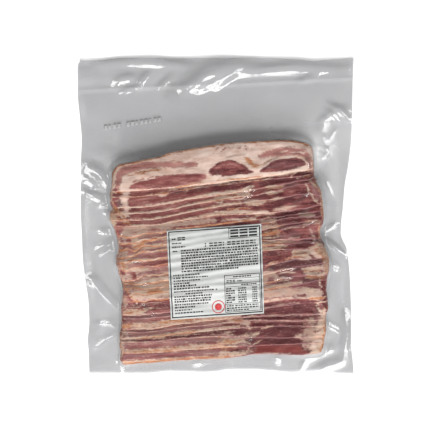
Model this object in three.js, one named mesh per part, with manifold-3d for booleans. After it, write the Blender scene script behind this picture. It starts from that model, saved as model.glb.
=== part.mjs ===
// A clear vacuum bag of shingled bacon rashers with a paper label on its front.
// Millimetres, +Z up. The bag lies on its back: +X is its right, +Y runs towards its mouth, and z = 0 is
// the flat underside of the meat. The bag and what it holds are one solid, out to the film drawn tight
// over every rasher; the label is a thin sheet of its own.
import * as THREE from "three";
import { mergeVertices } from "three/addons/utils/BufferGeometryUtils.js";
import Module from "manifold-3d";

// ---- driving sizes -------------------------------------------------------------------------------
const BAG_WIDTH = 280; // cut width of the bag, across its mouth
const BAG_LENGTH = 320; // bottom seal to mouth
const FLANGE = 0.8; // the two films together, with the stiffness of their ripples
const FLANGE_ROOT = 5.2; // height at which the films meet beside the meat
const FLANGE_TIP = 1.6; // mean height of the film's outer border
const SLAB_HEIGHT = 22.5; // thickest part of the stack of rashers
const RASHER_STEP = 1.5; // how far the film drops from one rasher's rim to the next
const UNDERCUT = 3.5; // how far the resting face stays inside the slab's widest line
const LABEL_THICK = 0.35;
const LABEL_GAP = 0.32;
const COLUMNS = 16; // divisions along the rashers
const SHEET_COLUMNS = 22,
  SHEET_ROWS = 26; // divisions of the film border

// A rasher's rim nearest the bag's bottom: its y at the left, the middle and the right of the slab.
const RIM_X = [-91, -1, 94];
const RIMS = [
  [24.5, 32.5, 46],
  [19, 29.5, 35.5],
  [6, 20, 27],
  [0.5, 14, 21],
  [-4.5, 8, 16.5],
  [-10, 1.5, 8.5],
  [-20.5, -7.5, 4],
  [-27, -14, -4],
  [-34, -21, -11.5],
  [-41, -27, -19.5],
  [-46.5, -34, -27],
  [-54, -41, -33],
  [-63.5, -48, -39.5],
  [-68.5, -54, -47],
  [-73, -60, -53],
  [-77.5, -66, -59],
  [-82.5, -71, -65],
  [-86.5, -77, -71],
  [-93, -88, -82],
  [-100.5, -95, -90],
  [-114, -104.5, -97],
  [-124, -114, -103.5],
  [-137, -128.5, -118],
  [-147.5, -141.5, -137.5],
];

// ---- helpers -------------------------------------------------------------------------------------
const lerp = (a, b, t) => a + (b - a) * t;
const clamp = (t, lo = 0, hi = 1) => Math.min(hi, Math.max(lo, t));
const smooth = (t) => {
  t = clamp(t);
  return t * t * (3 - 2 * t);
};
// Smooth curve through [position, value] pairs in rising order of position.
function through(pairs) {
  return (p) => {
    if (p <= pairs[0][0]) return pairs[0][1];
    for (let i = 1; i < pairs.length; i++)
      if (p <= pairs[i][0]) {
        const [a, b] = [pairs[i - 1], pairs[i]];
        return lerp(a[1], b[1], smooth((p - a[0]) / (b[0] - a[0])));
      }
    return pairs[pairs.length - 1][1];
  };
}
// The parabola through a rim's three heights.
function rimY(rim, x) {
  const [x0, x1, x2] = RIM_X;
  const [y0, y1, y2] = rim;
  const xc = clamp(x, -108, 112);
  return (
    (y0 * (xc - x1) * (xc - x2)) / ((x0 - x1) * (x0 - x2)) +
    (y1 * (xc - x0) * (xc - x2)) / ((x1 - x0) * (x1 - x2)) +
    (y2 * (xc - x0) * (xc - x1)) / ((x2 - x0) * (x2 - x1))
  );
}

// ---- outlines ------------------------------------------------------------------------------------
const H = BAG_LENGTH / 2,
  W = BAG_WIDTH / 2;
// How far each cut edge of the film is pulled in by the vacuum, along that edge.
const leftEdge = through([
  [-H, -W + 11],
  [-124, -W + 9.5],
  [-104, -W + 12],
  [-74, -W + 8.5],
  [-30, -W + 4],
  [26, -W + 2],
  [86, -W + 2.5],
  [H, -W],
]);
const rightEdge = through([
  [-H, W],
  [-124, W - 3],
  [-64, W - 4.5],
  [-39, W - 6.5],
  [-20, W - 12.5],
  [5, W - 12],
  [41, W - 8],
  [86, W - 2.5],
  [H, W],
]);
const topEdge = through([
  [-W, H],
  [-106, H - 1.2],
  [-80, H],
  [60, H],
  [97, H - 3],
  [124, H - 1],
  [W, H],
]);
const bottomEdge = through([
  [-W, -H],
  [-80, -H],
  [-58, -H + 1.8],
  [-4, -H + 1],
  [26, -H + 4],
  [60, -H + 2.2],
  [90, -H + 0.8],
  [W, -H],
]);
// The ends of the rashers, by y.
const slabLeft = through([
  [-148, -95],
  [-130, -97],
  [-112, -93.5],
  [-95, -94],
  [-84, -88],
  [-62, -96],
  [-44, -100.5],
  [-22, -99],
  [0, -106],
  [20, -105],
  [48, -103],
]);
const slabRight = through([
  [-140, 103],
  [-118, 109],
  [-92, 112],
  [-78, 110],
  [-54, 113],
  [-40, 110],
  [-24, 104],
  [0, 107],
  [20, 105],
  [36, 101],
  [48, 96],
  [70, 94],
]);
// The upper rim of the topmost rasher, by x.
const slabTop = through([
  [-104, 42],
  [-96, 51],
  [-66, 58],
  [-16, 69],
  [20, 74],
  [60, 75.5],
  [80, 74],
  [92, 69],
  [96, 62],
]);
// Height of the film over the stack, by y: thick under the close shingle, a step down to the last bundle.
const LAST_BUNDLE = 16.6; // height of the bundle nearest the bag's bottom
const crown = through([
  [-150, LAST_BUNDLE - 7],
  [-143, LAST_BUNDLE - 3.6],
  [-135, LAST_BUNDLE - 1.8],
  [-110, LAST_BUNDLE],
  [-90, LAST_BUNDLE + 1],
  [-81, SLAB_HEIGHT - 1.6],
  [-68, SLAB_HEIGHT - 0.4],
  [-44, SLAB_HEIGHT],
  [0, SLAB_HEIGHT],
  [34, SLAB_HEIGHT - 1.5],
  [60, 18],
  [76, 15.5],
]);

// ---- the label's place, by its four corners --------------------------------------------------------
const LABEL = { tl: [-48.5, -14], tr: [45, -7], br: [48, -97], bl: [-45, -104] };
function labelPoint(a, b) {
  const top = [0, 1].map((k) => lerp(LABEL.tl[k], LABEL.tr[k], a));
  const bottom = [0, 1].map((k) => lerp(LABEL.bl[k], LABEL.br[k], a));
  return [lerp(bottom[0], top[0], b), lerp(bottom[1], top[1], b)];
}
// 1 well inside the label, 0 outside it: the paper bridges the steps under it.
function underLabel(x, y) {
  const dx = Math.min(x + 57, 57 - x),
    dy = Math.min(y + 113, 2 - y);
  return smooth(Math.min(dx, dy) / 6);
}
const labelWave = (x, y) =>
  0.35 * Math.sin((y - 0.075 * x) * 0.42) + 0.25 * Math.sin((y + 0.05 * x) * 0.2 + 1);

// ---- a closed mesh from two grids that share an outline --------------------------------------------
// upper(i, j) and lower(i, j) give points for i across 0..n and j along 0..m.
function closedGrid(n, m, upper, lower) {
  const points = [],
    faces = [];
  const at = (side, i, j) => side * (n + 1) * (m + 1) + j * (n + 1) + i;
  for (const side of [upper, lower])
    for (let j = 0; j <= m; j++)
      for (let i = 0; i <= n; i++) points.push(...side(i, j));
  const quad = (a, b, c, d) => faces.push(a, b, c, a, c, d);
  for (let j = 0; j < m; j++)
    for (let i = 0; i < n; i++) {
      quad(at(0, i, j), at(0, i + 1, j), at(0, i + 1, j + 1), at(0, i, j + 1));
      quad(at(1, i, j + 1), at(1, i + 1, j + 1), at(1, i + 1, j), at(1, i, j));
    }
  for (let i = 0; i < n; i++) {
    quad(at(1, i, 0), at(1, i + 1, 0), at(0, i + 1, 0), at(0, i, 0));
    quad(at(0, i, m), at(0, i + 1, m), at(1, i + 1, m), at(1, i, m));
  }
  for (let j = 0; j < m; j++) {
    quad(at(0, 0, j), at(0, 0, j + 1), at(1, 0, j + 1), at(1, 0, j));
    quad(at(1, n, j), at(1, n, j + 1), at(0, n, j + 1), at(0, n, j));
  }
  const g = new THREE.BufferGeometry();
  g.setAttribute("position", new THREE.Float32BufferAttribute(points, 3));
  g.setIndex(faces);
  return g;
}

// ---- the slab of rashers -----------------------------------------------------------------------------
// Rows run from the topmost rasher's upper rim down to the last rim, with a crest and a foot at each rim.
const rows = [];
const edge0 = (x) => slabTop(x);
rows.push({ y: edge0, drop: 4.5, inset: 1 });
rows.push({ y: (x) => edge0(x) - 3, drop: 1.2, inset: 0 });
for (const t of [0.35, 0.7])
  rows.push({ y: (x) => lerp(edge0(x) - 3, rimY(RIMS[0], x), t), drop: 0, inset: 0 });
RIMS.forEach((rim, i) => {
  const last = i === RIMS.length - 1;
  const next = last ? null : RIMS[i + 1];
  rows.push({ y: (x) => rimY(rim, x) + (last ? 3 : 0.5), drop: -RASHER_STEP / 2, inset: 0 });
  if (last) rows.push({ y: (x) => rimY(rim, x), drop: 3.5, inset: 1 });
  else
    rows.push({
      y: (x) => rimY(rim, x) - Math.min(1.3, 0.3 * Math.abs(rimY(rim, x) - rimY(next, x))),
      drop: RASHER_STEP / 2,
      inset: 0,
    });
});
rows.reverse(); // from the bag's bottom towards its mouth
const NR = rows.length - 1;

// Positions across a row, closer together near the rashers' ends.
const across = (i) => {
  const t = i / COLUMNS;
  return lerp(t, smooth(t), 0.55);
};
function slabPlan(i, j) {
  const row = rows[j];
  const mid = row.y(0);
  const xl = slabLeft(row.y(-95)),
    xr = slabRight(row.y(95));
  const x = lerp(xl + row.inset * 2, xr - row.inset * 2, across(i));
  return [x, row.y(x), mid];
}
function slabUpper(i, j) {
  const [x, y] = slabPlan(i, j);
  const end = i === 0 || i === COLUMNS ? 6.5 : i === 1 || i === COLUMNS - 1 ? 1.2 : 0;
  const quiet = 1 - 0.75 * underLabel(x, y);
  const drop = rows[j].drop;
  const z =
    crown(y) -
    Math.max(drop, 0) * (Math.abs(drop) > 1 ? 1 : quiet) +
    Math.max(-drop, 0) * quiet -
    end * (crown(y) / SLAB_HEIGHT);
  return [x, y, Math.max(z, 4)];
}
// The underside: flat at z = 0, drawn in under the widest line.
function slabLower(i, j) {
  const [x, y] = slabPlan(i, j);
  const inX = i === 0 ? 1 : i === COLUMNS ? -1 : 0;
  const near = (row) => Math.max(0, 1 - Math.abs(rows[row].y(x) - y) / 9);
  return [x + inX * UNDERCUT * 0.7, y + (near(0) - near(NR)) * UNDERCUT, 0];
}
const slabGeometry = closedGrid(COLUMNS, NR, slabUpper, slabLower);

// ---- the film border: both films together, all round the slab -----------------------------------------
function toSlab(x, y) {
  const dx = Math.max(slabLeft(y) - x, x - slabRight(y), 0);
  const dy = Math.max(rimY(RIMS[RIMS.length - 1], x) - y, y - slabTop(x), 0);
  return Math.hypot(dx, dy);
}
function borderHeight(x, y) {
  const d = toSlab(x, y);
  const out = smooth(d / 40);
  const ripple =
    0.9 * Math.sin(x * 0.055 + 0.9 * Math.sin(y * 0.03)) +
    0.7 * Math.sin(y * 0.062 + 1.3 + 0.6 * Math.sin(x * 0.045));
  return lerp(FLANGE_ROOT, FLANGE_TIP, out) + 0.55 * ripple * out;
}
function sheetPlan(i, j) {
  const a = i / SHEET_COLUMNS,
    b = j / SHEET_ROWS;
  const y0 = lerp(-H, H, b);
  const x = lerp(leftEdge(y0), rightEdge(y0), a);
  return [x, lerp(bottomEdge(x), topEdge(x), b)];
}
const sheetGeometry = closedGrid(
  SHEET_COLUMNS,
  SHEET_ROWS,
  (i, j) => {
    const [x, y] = sheetPlan(i, j);
    return [x, y, borderHeight(x, y) + FLANGE / 2];
  },
  (i, j) => {
    const [x, y] = sheetPlan(i, j);
    return [x, y, borderHeight(x, y) - FLANGE / 2];
  },
);

// ---- join slab and border -------------------------------------------------------------------------
const wasm = await Module();
wasm.setup();
function solid(geometry) {
  const merged = mergeVertices(geometry, 1e-4);
  return new wasm.Manifold(
    new wasm.Mesh({
      numProp: 3,
      vertProperties: new Float32Array(merged.attributes.position.array),
      triVerts: new Uint32Array(merged.index.array),
    }),
  );
}
function toGeometry(made) {
  const m = made.getMesh();
  const v = new Float32Array(m.numVert * 3);
  for (let i = 0; i < m.numVert; i++)
    for (let k = 0; k < 3; k++) v[i * 3 + k] = m.vertProperties[i * m.numProp + k];
  const g = new THREE.BufferGeometry();
  g.setAttribute("position", new THREE.BufferAttribute(v, 3));
  g.setIndex(new THREE.BufferAttribute(new Uint32Array(m.triVerts), 1));
  g.computeVertexNormals();
  return g;
}
const bagGeometry = toGeometry(solid(slabGeometry).add(solid(sheetGeometry)));

// ---- the paper label, lying on the film in soft waves -----------------------------------------------
const LX = 10,
  LY = 16;
// The paper spans the step instead of following it.
const spanned = (y) => Math.max(...[-5, -2.5, 0, 2.5, 5].map((k) => crown(y + k)));
const labelBase = (x, y) =>
  spanned(y) + RASHER_STEP * 0.5 * 0.25 + LABEL_GAP + 0.6 + labelWave(x, y);
const labelGeometry = closedGrid(
  LX,
  LY,
  (i, j) => {
    const [x, y] = labelPoint(i / LX, j / LY);
    return [x, y, labelBase(x, y) + LABEL_THICK];
  },
  (i, j) => {
    const [x, y] = labelPoint(i / LX, j / LY);
    return [x, y, labelBase(x, y)];
  },
);

// ---- the object --------------------------------------------------------------------------------------
const pack = new THREE.Group();

const bag = new THREE.Mesh(
  bagGeometry,
  new THREE.MeshStandardMaterial({ color: 0xb98a80, roughness: 0.18, metalness: 0 }),
);
bag.name = "vacuum_bag";
pack.add(bag);

const label = new THREE.Mesh(
  labelGeometry,
  new THREE.MeshStandardMaterial({ color: 0xdadcda, roughness: 0.55, metalness: 0 }),
);
label.name = "label";
pack.add(label);

export default pack;
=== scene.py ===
"""A clear vacuum bag of shingled bacon rashers with a paper label, lying on a pale floor.

Every length below is in millimetres until it goes into a mesh. Places on the pack are given as (u, v): millimetres
to the right and down from the upper left corner of a 432 mm square that is centred on the pack, seen from above.
"""
import math

import bpy
import numpy as np
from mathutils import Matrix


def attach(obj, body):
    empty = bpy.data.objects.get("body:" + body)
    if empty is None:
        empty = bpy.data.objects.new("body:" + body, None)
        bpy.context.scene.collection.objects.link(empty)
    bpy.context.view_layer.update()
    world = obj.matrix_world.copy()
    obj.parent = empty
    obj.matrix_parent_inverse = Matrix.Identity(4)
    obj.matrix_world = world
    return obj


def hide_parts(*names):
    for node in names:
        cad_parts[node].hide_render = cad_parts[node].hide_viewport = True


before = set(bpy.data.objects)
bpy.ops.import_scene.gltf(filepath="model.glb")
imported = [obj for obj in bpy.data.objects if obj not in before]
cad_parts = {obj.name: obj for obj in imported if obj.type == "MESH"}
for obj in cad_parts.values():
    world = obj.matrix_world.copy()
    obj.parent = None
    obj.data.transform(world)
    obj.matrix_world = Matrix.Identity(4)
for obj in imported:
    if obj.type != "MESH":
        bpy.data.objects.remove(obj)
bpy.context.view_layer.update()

K = 1.007  # millimetres to one unit of u or v
MM = 0.001


def to_x(u):
    return (np.asarray(u, float) - 216.0) * K


def to_y(v):
    return (216.0 - np.asarray(v, float)) * K


def to_u(x):
    return np.asarray(x, float) / K + 216.0


def to_v(y):
    return 216.0 - np.asarray(y, float) / K


# ---- small tools ----------------------------------------------------------------------------------


def smooth(t):
    t = np.clip(t, 0.0, 1.0)
    return t * t * (3 - 2 * t)


def _hash(ix, iy, seed):
    n = (ix.astype(np.int64) * 374761393 + iy.astype(np.int64) * 668265263 + seed * 1442695041) & 0xFFFFFFFF
    n = ((n ^ (n >> 13)) * 1274126177) & 0xFFFFFFFF
    n = n ^ (n >> 16)
    return (n & 0xFFFFFF) / float(0xFFFFFF)


def noise(x, y, seed=0):
    """Smooth value noise from -1 to 1, about one feature to a unit."""
    x, y = np.broadcast_arrays(np.asarray(x, float), np.asarray(y, float))
    ix, iy = np.floor(x), np.floor(y)
    fx, fy = smooth(x - ix), smooth(y - iy)
    a = _hash(ix, iy, seed)
    b = _hash(ix + 1, iy, seed)
    c = _hash(ix, iy + 1, seed)
    d = _hash(ix + 1, iy + 1, seed)
    return ((a * (1 - fx) + b * fx) * (1 - fy) + (c * (1 - fx) + d * fx) * fy) * 2 - 1


def fractal(x, y, seed=0, octaves=3):
    out, amp, total = 0.0, 1.0, 0.0
    for k in range(octaves):
        out = out + amp * noise(x * 2**k + 17.3 * k, y * 2**k - 9.1 * k, seed + k)
        total += amp
        amp *= 0.5
    return out / total


def curve(xs, ys):
    """A smooth curve through points, flat beyond its ends (monotone cubic)."""
    xs, ys = np.asarray(xs, float), np.asarray(ys, float)
    h = np.diff(xs)
    s = np.diff(ys) / h
    m = np.zeros_like(ys)
    m[1:-1] = np.where(s[1:] * s[:-1] > 0, 2 * s[1:] * s[:-1] / (s[1:] + s[:-1] + 1e-12), 0)
    m[0], m[-1] = s[0], s[-1]

    def f(x):
        x = np.clip(x, xs[0], xs[-1])
        i = np.clip(np.searchsorted(xs, x) - 1, 0, len(h) - 1)
        t = (x - xs[i]) / h[i]
        return (
            (2 * t**3 - 3 * t**2 + 1) * ys[i]
            + (t**3 - 2 * t**2 + t) * h[i] * m[i]
            + (-2 * t**3 + 3 * t**2) * ys[i + 1]
            + (t**3 - t**2) * h[i] * m[i + 1]
        )

    return f


def along(u, v, points):
    """Distance from each (u, v) to a polyline, how far along it the nearest place is (0 to 1), and that place's width if points carry one."""
    pts = [tuple(p) + ((1.0,) if len(p) == 2 else ()) for p in points]
    best = np.full(np.shape(u), 1e9)
    where = np.zeros(np.shape(u))
    width = np.zeros(np.shape(u))
    if len(pts) == 1:
        pts = pts + [(pts[0][0] + 0.01, pts[0][1], pts[0][2])]
    spans = [math.hypot(b[0] - a[0], b[1] - a[1]) for a, b in zip(pts, pts[1:])]
    done, total = 0.0, sum(spans)
    for a, b, span in zip(pts, pts[1:], spans):
        dx, dy = b[0] - a[0], b[1] - a[1]
        t = np.clip(((u - a[0]) * dx + (v - a[1]) * dy) / (span * span), 0, 1)
        d = np.hypot(u - a[0] - t * dx, v - a[1] - t * dy)
        near = d < best
        best = np.where(near, d, best)
        where = np.where(near, (done + t * span) / total, where)
        width = np.where(near, a[2] + (b[2] - a[2]) * t, width)
        done += span
    return best, where, width


def make_mesh(name, verts_mm, faces, attributes=None, smooth_shade=True):
    me = bpy.data.meshes.new(name)
    co = np.asarray(verts_mm, np.float32) * MM
    faces = np.asarray(faces, np.int32)
    me.vertices.add(len(co))
    me.vertices.foreach_set("co", co.ravel())
    me.loops.add(faces.size)
    me.loops.foreach_set("vertex_index", faces.ravel())
    me.polygons.add(len(faces))
    k = faces.shape[1]
    me.polygons.foreach_set("loop_start", np.arange(0, faces.size, k, dtype=np.int32))
    me.polygons.foreach_set("loop_total", np.full(len(faces), k, np.int32))
    me.update(calc_edges=True)
    me.validate()
    if smooth_shade:
        me.polygons.foreach_set("use_smooth", np.ones(len(me.polygons), bool))
    for key, values in (attributes or {}).items():
        att = me.attributes.new(key, "FLOAT", "POINT")
        att.data.foreach_set("value", np.asarray(values, np.float32).ravel())
    ob = bpy.data.objects.new(name, me)
    bpy.context.scene.collection.objects.link(ob)
    return ob


def grid_faces(n, m, offset=0, flip=False):
    """Quads of a grid of n columns by m rows of vertices, row by row."""
    j, i = np.mgrid[0 : m - 1, 0 : n - 1]
    a = (j * n + i).ravel() + offset
    q = np.stack([a, a + 1, a + n + 1, a + n], 1)
    return q[:, ::-1] if flip else q


def rim_faces(n, m, low):
    """Quads that close a grid's edge to a second grid whose first vertex is low."""
    ring = np.concatenate(
        [
            np.arange(0, n),
            np.arange(1, m) * n + n - 1,
            (m - 1) * n + np.arange(n - 2, -1, -1),
            np.arange(m - 2, 0, -1) * n,
        ]
    )
    nxt = np.roll(ring, -1)
    return np.stack([ring, ring + low, nxt + low, nxt], 1)


# ---- where the rashers lie -------------------------------------------------------------------------
# v of each rasher's front rim at seven places across the pack, from the topmost rasher down.
STATIONS = [118, 150, 185, 225, 265, 295, 322]
RIMS = np.array(
    [
        [192.5, 190.2, 187.4, 182.4, 177.2, 172.6, 168.0],
        [198.0, 196.2, 190.4, 185.0, 180.6, 177.4, 173.5],
        [208.5, 207.0, 200.4, 194.6, 188.4, 182.2, 178.0],
        [214.5, 213.3, 206.6, 199.2, 194.2, 186.0, 181.0],
        [221.0, 220.0, 213.6, 205.7, 200.8, 196.8, 196.0],
        [227.0, 226.0, 220.4, 215.3, 214.0, 210.0, 205.0],
        [237.5, 235.0, 229.0, 223.8, 219.0, 214.6, 210.6],
        [245.0, 239.9, 235.0, 229.0, 223.6, 218.6, 217.0],
        [251.5, 246.2, 241.0, 235.0, 229.8, 223.4, 220.4],
        [257.5, 252.7, 247.5, 241.0, 235.4, 226.4, 223.2],
        [262.5, 259.7, 254.0, 246.5, 240.6, 240.2, 238.4],
        [269.0, 267.5, 261.5, 253.0, 245.8, 243.6, 241.4],
        [281.0, 277.0, 270.5, 260.5, 250.8, 249.6, 248.0],
        [286.5, 283.5, 278.0, 270.0, 265.5, 259.6, 257.6],
        [291.5, 288.5, 284.0, 279.0, 274.6, 268.0, 263.6],
        [297.0, 293.7, 288.5, 285.2, 282.6, 276.8, 275.0],
        [303.0, 301.0, 296.5, 292.5, 289.4, 284.8, 281.0],
        [316.0, 314.3, 310.5, 306.0, 302.4, 299.0, 296.8],
        [319.5, 318.0, 314.5, 311.0, 308.6, 304.4, 302.0],
        [330.0, 329.0, 324.0, 319.5, 316.2, 315.4, 314.0],
        [333.0, 332.0, 327.5, 323.0, 320.6, 321.2, 320.5],
        [339.5, 337.4, 333.3, 329.3, 326.6, 326.0, 327.0],
        [343.0, 342.0, 338.5, 337.0, 338.3, 338.3, 337.0],
        [353.5, 352.9, 350.0, 347.5, 345.4, 344.0, 343.0],
        [365.5, 362.6, 359.8, 358.0, 354.0, 354.8, 352.5],
    ]
)
N_RIMS = len(RIMS)
N_RASHERS = N_RIMS + 2  # two more lie under the last rim
PITCH_Z = 2.1  # height from one rasher's face to the next one's
THICK = 1.95
FLOOR_TOP = 2.2  # face height of a rasher that lies on the film underneath

XS = np.linspace(-125.0, 125.0, 501)
RIM_Y = np.zeros((N_RASHERS, len(XS)))
for i in range(N_RIMS):
    base = to_y(curve(STATIONS, RIMS[i])(to_u(XS)))
    RIM_Y[i] = (
        base
        + 0.5 * noise(XS / 13.0, 0.5, 11 + i)
        + 0.3 * noise(XS / 5.5, 0.5, 61 + i)
        + 0.26 * noise(XS / 2.6, 0.5, 91 + i)
    )
    if 2 <= i <= 16:
        # the rims are lumpy near both ends
        ends = smooth((XS - 36) / 22) * (0.75 if i < 14 else 0.5) + smooth((-42 - XS) / 12) * (1.7 if i > 5 else 0.14)
        RIM_Y[i] = RIM_Y[i] + ends * (1.25 * noise(XS / 9.0, 0.5, 191 + i) + 0.7 * noise(XS / 4.2, 0.5, 231 + i))
    if i:
        RIM_Y[i] = np.minimum(RIM_Y[i], RIM_Y[i - 1] - 1.5)
for k in range(N_RIMS, N_RASHERS):
    RIM_Y[k] = RIM_Y[k - 1] + 1.3 + 0.4 * noise(XS / 11.0, 0.5, 31 + k)

top_line = curve(
    [108, 112, 116, 120, 130, 150, 160, 170, 180, 200, 220, 240, 260, 275, 290, 300, 308, 312, 316],
    [176, 171, 167, 164.6, 162.6, 158.8, 156.6, 152.6, 151.0, 147.4, 144.2, 142.5, 141.2, 140.4, 140.6, 141.8, 144.2, 147.2, 153],
)
TOP_Y = to_y(top_line(to_u(XS))) + 0.22 * noise(XS / 4.0, 0.2, 5)

left_end = curve(
    [160, 172, 187, 195, 204, 209, 214, 219, 228, 236, 247, 255, 260, 266, 274, 282, 288, 296, 303, 310, 320, 330, 336, 346, 352, 360, 367],
    [112, 112.4, 111.6, 110.2, 112.0, 113.6, 110.2, 110.0, 113.8, 116.6, 119.0, 118.6, 116.6, 116.6, 119.2, 122.0, 123.4, 123.2, 122.2, 121.4, 122.0, 121.4, 119.8, 119.8, 121.0, 120.2, 123],
)
right_end = curve(
    [146, 156, 167, 172, 177, 182, 190, 200, 210, 220, 231, 238, 245, 252, 262, 270, 280, 290, 300, 309, 318, 330, 342, 350, 357],
    [311.4, 313, 313.4, 313.0, 314.0, 316.6, 320, 321.6, 322.6, 323.2, 319.2, 320, 323, 326, 328.6, 328.6, 326.6, 325.8, 327, 328, 325.2, 326, 324, 322.6, 318],
)
# Height of the pile's envelope by v, in front of the topmost rasher's rim.
pile = curve(
    [180, 215, 260, 285, 297, 304, 312, 325, 338, 350, 358, 366],
    [22.0, 22.4, 22.2, 21.6, 20.6, 16.8, 16.0, 15.3, 14.7, 14.2, 13.0, 9.0],
)


def at_x(rows, x):
    return np.stack([np.interp(x, XS, r) for r in rows])


def end_gap(x, y):
    """Millimetres from the nearer end of the pile, along x."""
    v = to_v(y)
    return np.minimum(x - to_x(left_end(v)), to_x(right_end(v)) - x)


def envelope(x, y):
    v = to_v(y)
    first = np.interp(x, XS, RIM_Y[0])
    top = np.interp(x, XS, TOP_Y)
    t = np.clip((y - first) / np.maximum(top - first, 1), 0, 1)
    s = pile(v) - 7.0 * t**1.7
    s = s + 0.45 * noise(x / 23.0, y / 15.0, 3) + 0.22 * noise(x / 9.0, y / 6.0, 4)
    s = s + 0.2 * noise(x / 13.0, y / 3.6, 14)
    s = s + smooth((x - 45) / 20) * 0.5 * noise(x / 9.0, y / 5.5, 15) + smooth((-42 - x) / 14) * 0.3 * noise(x / 7.0, y / 4.5, 16)
    return s


def squeeze(x, y):
    """The pile is pressed thinner towards the rashers' ends."""
    e = np.clip(end_gap(x, y) / 11.0, 0, 1)
    return 0.66 + 0.34 * np.sqrt(1 - (1 - e) ** 2)


def layer(x, y):
    """How many rims lie above each place: 0 at the first rim, 1 at the second, and so on."""
    rims = at_x(RIM_Y[:N_RIMS], x)
    above = (rims >= y).sum(0)
    j = np.clip(above - 1, 0, N_RIMS - 2)
    hi = np.take_along_axis(rims, j[None], 0)[0]
    lo = np.take_along_axis(rims, j[None] + 1, 0)[0]
    t = np.clip((hi - y) / np.maximum(hi - lo, 0.1), 0, 1)
    lip = 1.0 + 0.45 * noise(x / 24.0, j * 1.37, 8)
    return np.where(above == 0, 0.0, j + t**lip)


def face_height(i, x, y):
    """Height of rasher i's face, before its edges are rounded."""
    return (envelope(x, y) - (i - layer(x, y)) * PITCH_Z) * squeeze(x, y)


# Where each rasher's hidden back edge lies.
BACK_Y = np.zeros((N_RASHERS, len(XS)))
for i in range(N_RASHERS):
    steps = np.linspace(0.0, 62.0, 125)
    yy = RIM_Y[i][None, :] + steps[:, None]
    xx = np.broadcast_to(XS, yy.shape)
    s = envelope(xx.ravel(), yy.ravel()).reshape(yy.shape)
    k = layer(xx.ravel(), yy.ravel()).reshape(yy.shape)
    low = (s - (i - k) * PITCH_Z) < FLOOR_TOP
    low[0] = False
    stop = np.where(low.any(0), steps[np.argmax(low, 0)], steps[-1])
    back = RIM_Y[i] + stop
    pad = np.pad(back, 12, mode="edge")
    back = np.convolve(pad, np.ones(25) / 25, mode="valid")
    BACK_Y[i] = np.minimum(back + 0.5 * noise(XS / 9, 3.3, 140 + i), TOP_Y - 0.45 * i)
    BACK_Y[i] = np.maximum(BACK_Y[i], RIM_Y[i] + 9)
BACK_Y[0] = TOP_Y

# ---- what each place on the meat is -------------------------------------------------------------------
# A stroke is (kind, softness, [(u, v, width), ...]). Kinds set what the tissue is: lean is how far it is muscle,
# tone how light the muscle is, rind how far it is the tan outer skin, pink and dull tint the fat. Some strokes paint
# light
# and shade rather than tissue: gleam strokes are painted highlights, and some dark and deep strokes are painted shadow.
# Dull also carries painted shade.
KINDS = {
    "fat": dict(lean=0.0, rind=0.05, pink=0.25, dull_and_shade=0.1),
    "pinkfat": dict(lean=0.0, rind=0.0, pink=0.85, dull_and_shade=0.0, pale=0.6),
    # painted highlight: pale fat where the film over the meat shows a glint
    "painted_highlight": dict(lean=0.0, rind=0.0, pink=0.4, dull_and_shade=0.0, pale=1.0),
    "greyfat": dict(lean=0.05, rind=0.0, pink=0.1, dull_and_shade=0.9),
    "yellow": dict(lean=0.0, rind=0.35, pink=0.0, dull_and_shade=0.25),
    "orange": dict(lean=0.0, rind=0.8, pink=0.1, dull_and_shade=0.0),
    "brown": dict(lean=0.15, rind=1.0, pink=0.0, dull_and_shade=0.5),
    "rose": dict(lean=1.0, tone=0.8, rind=0.0, dull_and_shade=0.0),
    "lean": dict(lean=1.0, tone=0.55, rind=0.0, dull_and_shade=0.0),
    "deep": dict(lean=1.0, tone=0.28, rind=0.0, dull_and_shade=0.0),
    "dark": dict(lean=1.0, tone=0.1, rind=0.0, dull_and_shade=0.0),
    "red": dict(lean=1.0, tone=0.4, rind=0.22, dull_and_shade=0.0),
    "veil": dict(lean=0.42, tone=0.6, rind=0.0, pink=0.5, dull_and_shade=0.45, pale=0.1),
    "mauve": dict(lean=0.86, tone=0.64, rind=0.0, pink=0.6, dull_and_shade=0.75, pale=0.1),
    "peach": dict(lean=0.0, rind=0.3, pink=0.6, dull_and_shade=0.0, pale=0.1),
    "blush": dict(lean=0.82, tone=0.95, rind=0.0, pink=0.7, dull_and_shade=0.0, pale=0.4),
    "vein": dict(lean=0.5, tone=0.62, rind=0.0, pink=0.8, dull_and_shade=0.3, pale=0.0),
    "slate": dict(lean=1.0, tone=0.2, rind=0.0, dull_and_shade=0.5),
    "plum": dict(lean=1.0, tone=0.16, rind=0.0, dull_and_shade=0.0),
    "crimson": dict(lean=1.0, tone=0.0, rind=0.4, dull_and_shade=0.0),
}
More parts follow.
